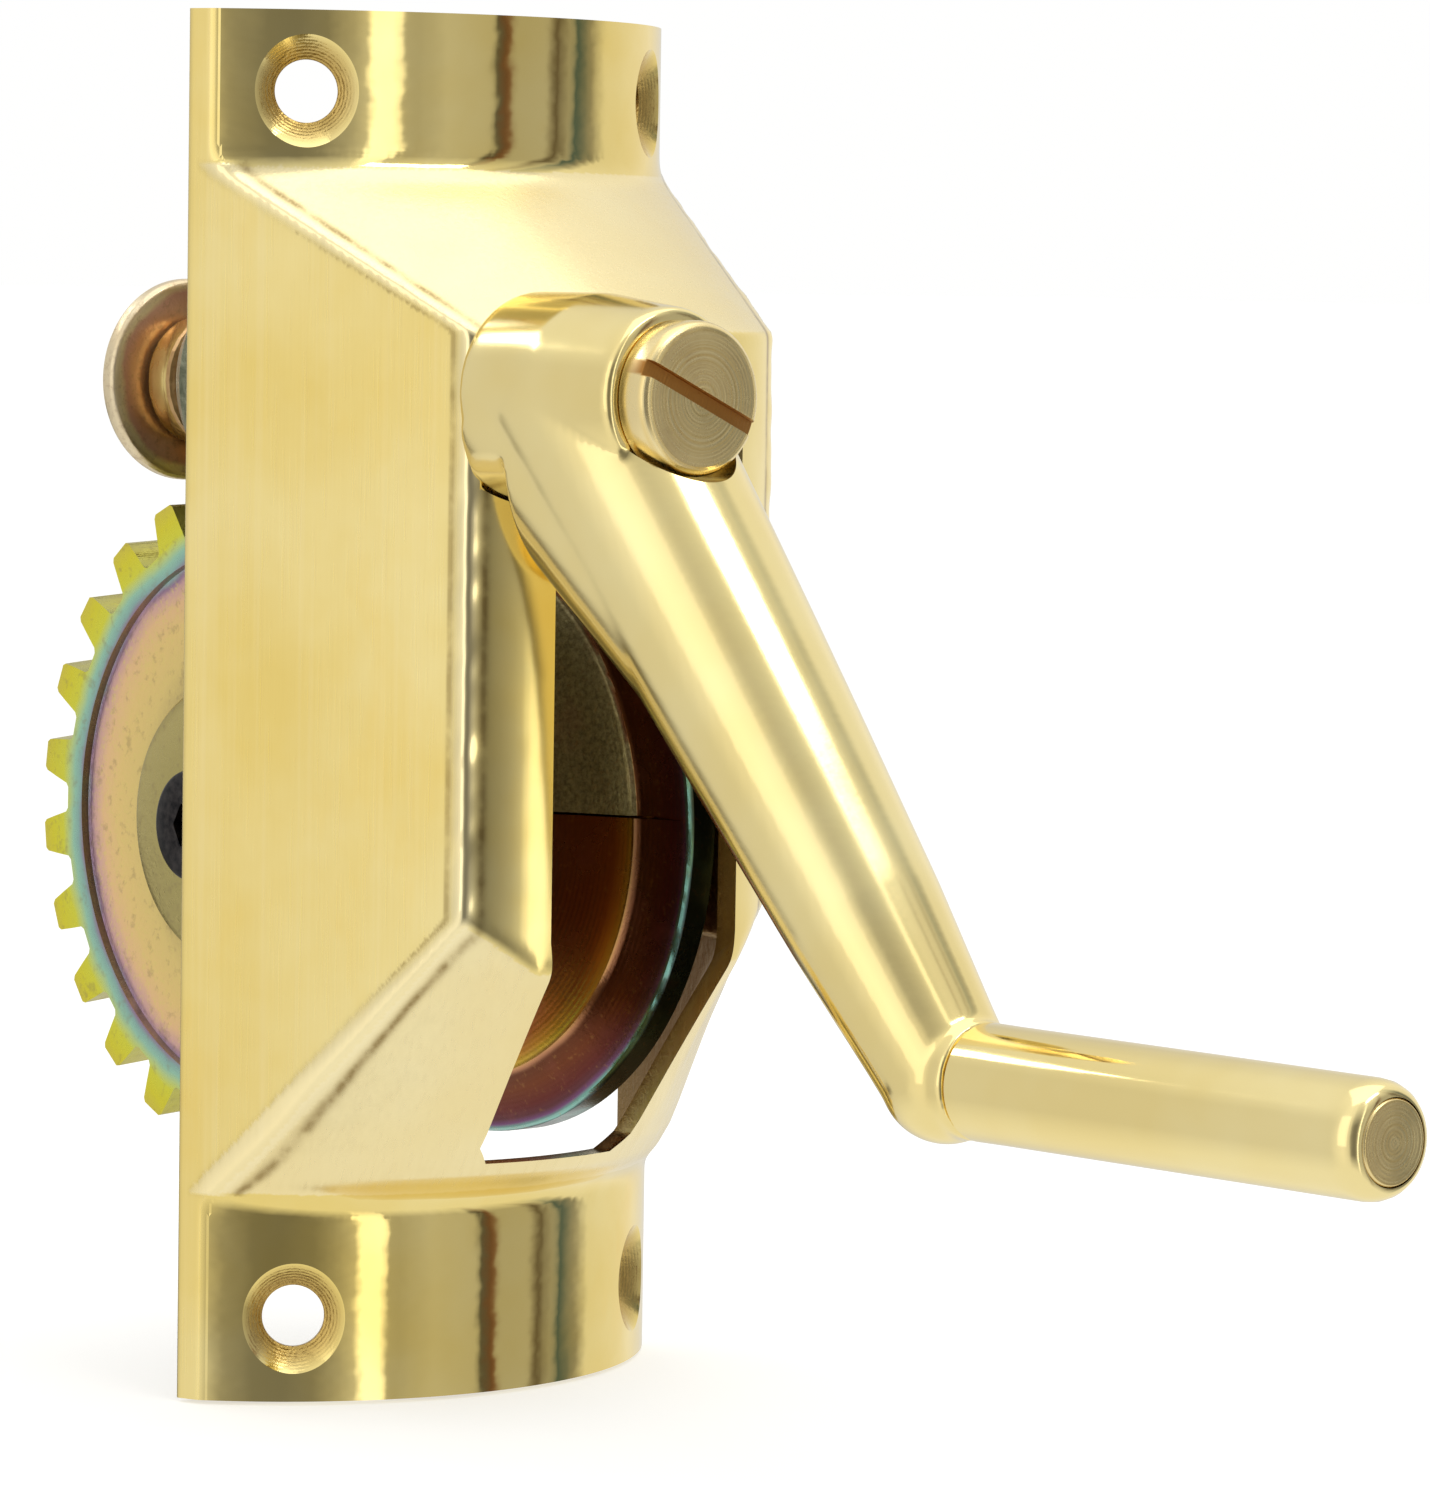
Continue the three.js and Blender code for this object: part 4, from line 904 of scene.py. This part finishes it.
# ------------------------------------------------------------------ crank
def build_crank():
    # hub (radius, y)
    crank = revolve(WORM_AXIS, [
        (0, CRANK_BACK_Y), (13.6, CRANK_BACK_Y), (14.2, CRANK_BACK_Y - 0.8), (14.2, -62),
        (12.5, -76.6), (11.9, CRANK_FRONT_Y), (0, CRANK_FRONT_Y)])
    start = Vector((WORM_X + 0.3, -58.45, WORM_Z + 0.2))
    end = Vector((GRIP_X + 0.15, -127.7, GRIP_Z + 0.1))

    def on_arm(t):
        return start + (end - start) * t

    # arm (share of its length, radius)
    taper = [(0, 14.8), (0.15, 14.4), (0.3, 13.7), (0.42, 13.1), (0.54, 12.45),
             (0.78, 11.0), (0.95, 9.45), (1, 9.1)]
    arm = tube([on_arm(t) for t, _ in taper], [radius for _, radius in taper])
    foot, foot_end = Vector((WORM_X, -49.0, WORM_Z - 2.0)), on_arm(0.4)
    unite(arm, tube([foot, foot + (foot_end - foot) * 0.5, foot_end], [14.2, 13.6, 12.9]))
    # level the arm's back, and clear a ring round the hub
    cut(arm, box(x=(-80, 60), y=(CRANK_BACK_Y, 0), z=(0, 240)))
    cut(arm, revolve(WORM_AXIS, [(15.85, -56.2), (70, -56.2), (70, -40), (15.85, -40)]))
    elbow = ball((GRIP_X, ELBOW_Y, GRIP_Z), 9.05)
    cut(elbow, box(x=(-80, 60), y=(-160, GRIP_BACK_Y), z=(0, 240)))
    unite(crank, arm, elbow, cylinder(GRIP_AXIS, 8.0, span=(GRIP_BACK_Y, -127)))
    voxel(crank, 0.4, smooth=26)
    cut(crank, cylinder(WORM_AXIS, 11.3, span=(-100, CRANK_FRONT_Y)))
    cut(crank, cylinder(WORM_AXIS, 6.06, span=(-80, -40)))
    smooth_by_angle(crank, 50)
    piece(crank, "crank", "crank_arm", CRANK_BRASS)


def build_crank_screw():
    screw = revolve(WORM_AXIS, [
        (0, -82.9), (9.1, -82.9), (9.7, -82.8), (10.2, -82.45), (10.55, -81.95), (10.7, -81.3),
        (10.7, -77.6), (4.0, -77.6), (4.0, -63), (3.4, -62), (0, -62)], seg=128)
    # slot across the head, turned about the screw's axis
    turn, slot_y = -0.42, -83.2
    slot = box(x=(-20, 20), y=(-1.6, 1.6), z=(-1.1, 1.1))
    x, y, z = get_points(slot).T
    set_points(slot, np.column_stack([
        x * math.cos(turn) - z * math.sin(turn) + WORM_X, y + slot_y,
        x * math.sin(turn) + z * math.cos(turn) + WORM_Z]))
    cut(screw, slot)
    bevel(screw, 0.12, seg=2)
    x, y, z = get_points(screw).T
    across = -(x - WORM_X) * math.sin(turn) + (z - WORM_Z) * math.cos(turn)
    float_attr(screw, "slot", (y > -82.6) & (y < -81.2) & (np.abs(across) < 1.2))
    piece(screw, "crank", "crank_screw", SCREW_BRASS)


def build_grip():
    back, front = GRIP_BACK_Y, GRIP_FRONT_Y
    sleeve = revolve(GRIP_AXIS, [
        (4.1, back - 0.4), (7.6, back - 0.4), (7.95, back - 0.7), (7.9, back - 6),
        (7.8, front + 4.0), (7.65, front + 2.6), (7.2, front + 1.4), (6.6, front + 0.6),
        (5.9, front + 0.2), (5.7, front + 0.2), (5.7, front + 4.2), (4.1, front + 4.2)], seg=128)
    smooth_by_angle(sleeve, 40)
    piece(sleeve, "grip", "grip_sleeve", GRIP_BRASS)
    spindle = revolve(GRIP_AXIS, [
        (0, -126.5), (3.0, -126.5), (3.0, back - 0.2), (4.0, back - 0.5), (4.0, front + 4.0),
        (5.6, front + 4.0), (5.6, front + 0.35), (5.3, front), (0, front)])
    bevel(spindle, 0.1, seg=2)
    float_attr(spindle, "slot", np.zeros(len(spindle.data.vertices)))
    piece(spindle, "crank", "grip_spindle", SPINDLE_BRASS)


# ------------------------------------------------------------------ reel
def build_wheel():
    # half a tooth, root to tip: (radius, half thickness)
    half_tooth = [(WHEEL_ROOT_R, 3.9), (WHEEL_ROOT_R + 0.5, 3.35), (WHEEL_PITCH_R, 2.9),
                  (WHEEL_TIP_R - 0.5, 2.4), (WHEEL_TIP_R, 1.9)]
    tooth = [(r, -half) for r, half in half_tooth] + half_tooth[::-1]
    outline = [(r, FIRST_TOOTH + 2 * math.pi * k / TEETH + math.asin(offset / r))
               for k in range(TEETH) for r, offset in tooth]
    rings = []
    for x in np.linspace(-25.7, -10.0, 5):
        # the teeth lean by the worm's lead angle
        twist = -(x - WORM_X) * (PITCH / (2 * math.pi) / WORM_PITCH_R) / WHEEL_PITCH_R
        rings.append([(x, GEAR_Y + r * math.cos(a + twist), GEAR_Z - r * math.sin(a + twist))
                      for r, a in outline])
    wheel = ring_solid(rings)
    # recess in the left face, then the hub: (radius, x)
    cut(wheel, revolve(GEAR_AXIS, [(20.9, -40), (41.2, -40), (40.0, -24.5), (39.6, -24.3),
                                   (21.6, -24.3), (20.9, -24.9)], seg=128))
    unite(wheel, revolve(GEAR_AXIS, [(0, -30.9), (18.6, -30.9), (19.6, -30.6), (20.3, -29.8),
                                     (20.6, -28.8), (20.9, -20), (0, -20)], seg=128))
    cut(wheel, cylinder(GEAR_AXIS, 9.56, span=(-60, 20)))
    cut(wheel, revolve(GEAR_AXIS, [(24, -13), (38, -13), (38, 0), (24, 0)]))
    bevel(wheel, 0.35, seg=2, deg=30)
    piece(wheel, "reel", "worm_wheel", WHEEL_ZINC)


def build_drum():
    # (radius, x)
    drum = revolve(GEAR_AXIS, [
        (9.56, -9.7), (21, -9.7), (21, 1), (22, 4.5), (25, 8.2), (31, 11.8), (36, 13.9),
        (39.6, 15.3), (40.1, 15.3), (40.5, 15.7), (41.2, 16.2), (44.8, 17.9), (47.6, 18.6),
        (48.2, 18.8), (48.7, 19.5), (48.7, 23.4), (48.2, 24.0), (36, 24.0), (34, 22.0),
        (22, 22.0), (20, 24.0), (9.56, 24.0)], seg=160)
    # raised pad on the upper half of the flange's left face
    pad_z = GEAR_Z + 2.2
    pad = revolve(GEAR_AXIS, [
        (25, 7.2), (31, 10.7), (36, 12.8), (39.9, 14.4), (40.3, 14.9), (40.6, 17), (30, 14),
        (25, 11)], seg=160)
    boolean(pad, box(x=(0, 20), y=(-60, 80), z=(pad_z, 160)), "INTERSECT")
    unite(drum, pad)
    cut(drum, box(x=(8, 18.6), y=(-45, 0), z=(GEAR_Z + 1.75, pad_z)))
    bevel(drum, 0.4, deg=30)
    x, y, z = get_points(drum).T
    radius = np.hypot(y - GEAR_Y, z - GEAR_Z)
    float_attr(drum, "pad", (z > GEAR_Z + 1.9) & (x < 15.6) & (radius < 40.7))
    piece(drum, "reel", "drum", DRUM_ZINC)


# ------------------------------------------------------------------ small parts
def build_rear_disc():
    disc = revolve(WORM_AXIS, [
        (3.0, 31.9), (13.9, 31.9), (14.6, 32.1), (15.0, 32.7), (15.0, 34.3), (14.6, 34.9),
        (13.9, 35.1), (3.0, 35.1)], seg=128)
    piece(disc, "crank", "worm_rear_disc", DISC_ZINC, name="rear_disc")
    bevel(disc, 0.2, seg=2)


def build_axle_screw():
    screw = revolve(GEAR_AXIS, [
        (0, -35.9), (7.5, -35.9), (8.0, -35.7), (8.2, -35.2), (8.2, -32.9), (4.0, -32.9),
        (4.0, -12.5), (3.4, -11.5), (0, -11.5)])
    cut(screw, cylinder(GEAR_AXIS, 3.6, span=(-40, -33.6), seg=6))
    bevel(screw, 0.15, seg=2)
    piece(screw, "body", "axle_screw", BLACK)


def build_axle_washer():
    washer = revolve(GEAR_AXIS, [
        (4.3, -32.6), (8.7, -32.6), (8.9, -32.4), (8.9, -31.5), (8.7, -31.3), (4.3, -31.3)])
    smooth_by_angle(washer)
    piece(washer, "body", "axle_end_washer", BLACK)


def build_disc_screw():
    screw = revolve(WORM_AXIS, [
        (0, 38.2), (3.7, 38.2), (4.4, 37.9), (4.6, 37.2), (4.6, 35.3), (2.55, 35.3),
        (2.55, 20), (0, 20)], seg=64)
    cut(screw, cylinder(WORM_AXIS, 2.3, span=(36.2, 50), seg=6))
    bevel(screw, 0.12, seg=2)
    piece(screw, "crank", "rear_disc_screw", STEEL)


# ------------------------------------------------------------------ worm
def worm_thread(slices=96, half_tooth=2.5, flank=0.2):
    """Helical thread: each slice round the axis is the same profile, shifted by its lead."""
    tip = half_tooth - flank * (WORM_TIP_R - WORM_PITCH_R)
    root = half_tooth + flank * (WORM_PITCH_R - WORM_ROOT_R)
    # one tooth (offset along Y, radius)
    tooth = [(-root - 0.6, WORM_ROOT_R), (-root, WORM_ROOT_R + 0.3),
             (-tip - 0.15, WORM_TIP_R - 0.4), (-tip + 0.3, WORM_TIP_R),
             (tip - 0.3, WORM_TIP_R), (tip + 0.15, WORM_TIP_R - 0.4),
             (root, WORM_ROOT_R + 0.3), (root + 0.6, WORM_ROOT_R)]
    size = len(tooth)
    turns = math.ceil((SHAFT_SHOULDER_Y - WORM_FRONT_Y) / PITCH) + 3
    rows = turns * size
    first_y = GEAR_Y - 0.0955 * WHEEL_PITCH_R + PITCH / 2 - PITCH * math.ceil(turns / 2)
    verts, faces = [], []
    for i in range(slices):
        angle = math.pi + 2 * math.pi * i / slices
        for j in range(rows):
            offset, radius = tooth[j % size]
            verts.append((WORM_X + radius * math.sin(angle),
                          first_y + offset + PITCH * (j // size) + PITCH * i / slices,
                          WORM_Z + radius * math.cos(angle)))

    def index(i, j):
        """The slice after the last is the first, one tooth on."""
        return i * rows + j if i < slices else j + size

    for i in range(slices):
        count = rows - 1 if i < slices - 1 else rows - 1 - size
        for j in range(count):
            faces.append((index(i, j), index(i + 1, j), index(i + 1, j + 1), index(i, j + 1)))

    def cap(loop, y):
        centre = len(verts)
        verts.append((WORM_X, y, WORM_Z))
        for k in range(len(loop)):
            faces.append((centre, loop[(k + 1) % len(loop)], loop[k]))

    last = rows - 1
    cap([index(i, 0) for i in range(slices)] + [index(0, j) for j in range(size, 0, -1)],
        first_y - 4)
    cap([index(slices - 1, j) for j in range(last - size, last)]
        + [index(i, last) for i in range(slices - 1, -1, -1)], first_y + PITCH * turns + 4)
    return mesh_from(verts, faces)


def build_worm():
    worm = worm_thread()
    # thread limits, then the front and rear shafts: (radius, y)
    limits = revolve(WORM_AXIS, [
        (0, WORM_FRONT_Y), (WORM_ROOT_R + 1, WORM_FRONT_Y), (WORM_TIP_R + 1, -3.5),
        (WORM_TIP_R + 1, 6.5), (WORM_ROOT_R + 0.7, 16.5), (0, 16.5)])
    boolean(worm, limits, "INTERSECT")
    unite(worm, revolve(WORM_AXIS, [
        (0, -77.3), (5, -77.3), (6, -76.3), (6, -31.6), (9.5, -31.6), (9.5, -6.5), (0, -6.5)]))
    unite(worm, revolve(WORM_AXIS, [
        (0, 16), (8.6, 16), (9.0, 16.5), (9.0, 24.0), (8.6, SHAFT_SHOULDER_Y),
        (6, SHAFT_SHOULDER_Y), (6, 31.6), (0, 31.6)]))
    smooth_by_angle(worm, 38)
    piece(worm, "crank", "worm_shaft", WORM_STEEL)


def dress_packed_nodes():
    """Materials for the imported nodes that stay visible."""
    plain = {
        BRONZE: ("worm_front_bush", "worm_rear_bush", "worm_front_washer", "worm_rear_washer",
                 "wheel_bush", "drum_bush", "axle_thrust_washer"),
        STEEL: ("drive_pin_1", "drive_pin_2", "drive_pin_3", "rope_clamp_screw", "drum_axle",
                "axle_lock_pin", "crank_key")}
    for material, names in plain.items():
        for name in names:
            for slot in nodes[name].material_slots:
                slot.material = material


# ------------------------------------------------------------------ stage, in metres
def build_floor(half=30.0, z=-0.0006):
    material = bpy.data.materials.new("floor")
    material.use_nodes = True
    inputs = material.node_tree.nodes["Principled BSDF"].inputs
    inputs["Base Color"].default_value = (0.55, 0.55, 0.545, 1)
    inputs["Emission Color"].default_value = (1.0, 0.995, 0.98, 1)
    inputs["Emission Strength"].default_value = 0.56
    inputs["Roughness"].default_value = 0.9
    inputs["Specular IOR Level"].default_value = 0.1
    mesh = bpy.data.meshes.new("floor")
    corners = [(-half, -half, z), (half, -half, z), (half, half, z), (-half, half, z)]
    mesh.from_pydata(corners, [], [(0, 1, 2, 3)])
    floor = bpy.data.objects.new("floor", mesh)
    collection.objects.link(floor)
    floor.data.materials.append(material)
    floor.visible_glossy = False
    floor.visible_diffuse = False


# A tent with bright cloth, grey gaps and a dark room behind the camera. Each band is
# (position, level); position p is azimuth (p - 0.5) * 360, from +Y towards +X.
GREY_BANDS = [
    (0.012, 0.60), (0.017, 2.0), (0.036, 2.1), (0.042, 0.80), (0.06, 0.50), (0.078, 0.32),
    (0.10, 0.26), (0.13, 0.28), (0.155, 0.42), (0.18, 0.95), (0.24, 1.25), (0.295, 1.15),
    (0.34, 0.95), (0.42, 0.92), (0.50, 0.85), (0.575, 0.8), (0.62, 0.9), (0.70, 1.2),
    (0.79, 1.05), (0.808, 0.4), (0.842, 0.5), (0.872, 0.60), (0.905, 0.58), (0.922, 0.14),
    (0.928, 0.66), (0.97, 0.72)]
TINTED_BANDS = [
    (0.0, (0.58, 0.57, 0.54)), (0.832, (0.10, 0.16, 0.20)), (0.860, (0.16, 0.13, 0.10)),
    (0.911, (0.22, 0.09, 0.04)), (1.0, (0.58, 0.57, 0.54))]


def build_world():
    world = bpy.data.worlds.new("world")
    bpy.context.scene.world = world
    world.use_nodes = True
    g = Graph(world.node_tree, "Generated")
    x, y, z = g.split(g.pos)
    azimuth = g.math("ARCTAN2", x, y, third=None)
    wobble = g.math("MULTIPLY_ADD", g.noise(3.5, detail=2.0, rough=0.5), 0.14, third=-0.07)
    turn = g.remap(g.math("ADD", azimuth, wobble, third=None), span=(-math.pi, math.pi))
    bands = [(p, (level, level * 0.985, level * 0.95)) for p, level in GREY_BANDS]
    walls = g.ramp(turn, sorted(bands + TINTED_BANDS))
    colour = g.mix(g.remap(z, span=(0.42, 1.0)), walls, (1.30, 1.30, 1.28))

    # a dark strip of floor behind the object, seen in the undersides only
    def window(value, rise, fall):
        return g.math("MULTIPLY", g.remap(value, span=rise, kind="SMOOTHSTEP"),
                      g.remap(value, span=fall, kind="SMOOTHSTEP"), third=None)

    strip = g.math("MULTIPLY", window(turn, rise=(0.42, 0.47), fall=(0.61, 0.57)),
                   window(z, rise=(-0.12, -0.18), fall=(-0.38, -0.31)), third=None)
    colour = g.mix(strip, colour, (0.12, 0.10, 0.05))
    colour = g.mix(g.remap(z, span=(-0.36, -0.72)), colour, (1.15, 1.14, 1.10))

    seen = g.node("ShaderNodeBackground")       # what the camera sees
    seen.inputs[0].default_value = (1.0, 1.0, 0.995, 1)
    seen.inputs[1].default_value = 1.0
    tent = g.node("ShaderNodeBackground")       # what lights the winch
    g.link(colour, tent.inputs[0])
    tent.inputs[1].default_value = 0.82
    choice = g.node("ShaderNodeMixShader")
    g.link(g.node("ShaderNodeLightPath").outputs["Is Camera Ray"], choice.inputs[0])
    g.link(tent.outputs[0], choice.inputs[1])
    g.link(seen.outputs[0], choice.inputs[2])
    g.link(choice.outputs[0], g.node("ShaderNodeOutputWorld").inputs[0])


def area_light(name, place, target, size, power):
    light = bpy.data.lights.new(name, "AREA")
    light.shape, light.size, light.size_y = "RECTANGLE", size[0], size[1]
    light.energy = power
    obj = bpy.data.objects.new(name, light)
    obj.location = place
    aim = Vector(target) - Vector(place)
    obj.rotation_euler = aim.to_track_quat("-Z", "Y").to_euler()
    collection.objects.link(obj)


def build_lights():
    area_light("key_left", place=(-0.9, -0.15, 0.35), target=(0, 0, 0.1), size=(0.5, 0.9),
               power=0.5)
    area_light("top", place=(0.1, -0.1, 1.1), target=(0, 0, 0.1), size=(1.0, 1.0), power=2.0)
    area_light("strip_front", place=(0.104, -0.60, 0.94), target=(0, -0.06, 0.1),
               size=(0.5, 0.13), power=0.9)
    area_light("strip_back", place=(-0.25, 0.70, 0.72), target=(0, -0.06, 0.14),
               size=(0.5, 0.10), power=0.7)


def build_camera():
    """Stands in front and to the left, placed from the top of the plates' back edges."""
    turn, pitch, roll = math.radians(41.72), math.radians(4.24), math.radians(0.89)
    aside, above, distance = 42.49, -107.38, 956.81     # mm, along the camera's own axes
    back = Vector((-math.sin(turn) * math.cos(pitch), -math.cos(turn) * math.cos(pitch),
                   math.sin(pitch)))
    level = Vector((math.cos(turn), -math.sin(turn), 0))
    upright = back.cross(level)
    right = level * math.cos(roll) + upright * math.sin(roll)
    up = -level * math.sin(roll) + upright * math.cos(roll)
    place = aside * right + above * up + distance * back
    place = Vector((place.x, place.y + BACK_Y, place.z + HEIGHT)) * MM
    data = bpy.data.cameras.new("cam")
    camera = bpy.data.objects.new("cam", data)
    collection.objects.link(camera)
    rows = [(right[i], up[i], back[i], place[i]) for i in range(3)]
    camera.matrix_world = Matrix((*rows, (0, 0, 0, 1)))
    data.sensor_fit = "VERTICAL"
    data.sensor_height = 36.0
    data.lens = 156.2376
    data.clip_start, data.clip_end = 0.01, 100
    bpy.context.scene.camera = camera


build_housing()
build_crank()
build_wheel()
build_drum()
build_rear_disc()
build_crank_screw()
build_grip()
build_axle_screw()
build_axle_washer()
build_disc_screw()
build_worm()
dress_packed_nodes()
build_floor()
build_world()
build_lights()
build_camera()
bpy.context.scene.view_settings.view_transform = "Standard"
bpy.context.scene.view_settings.look = "None"
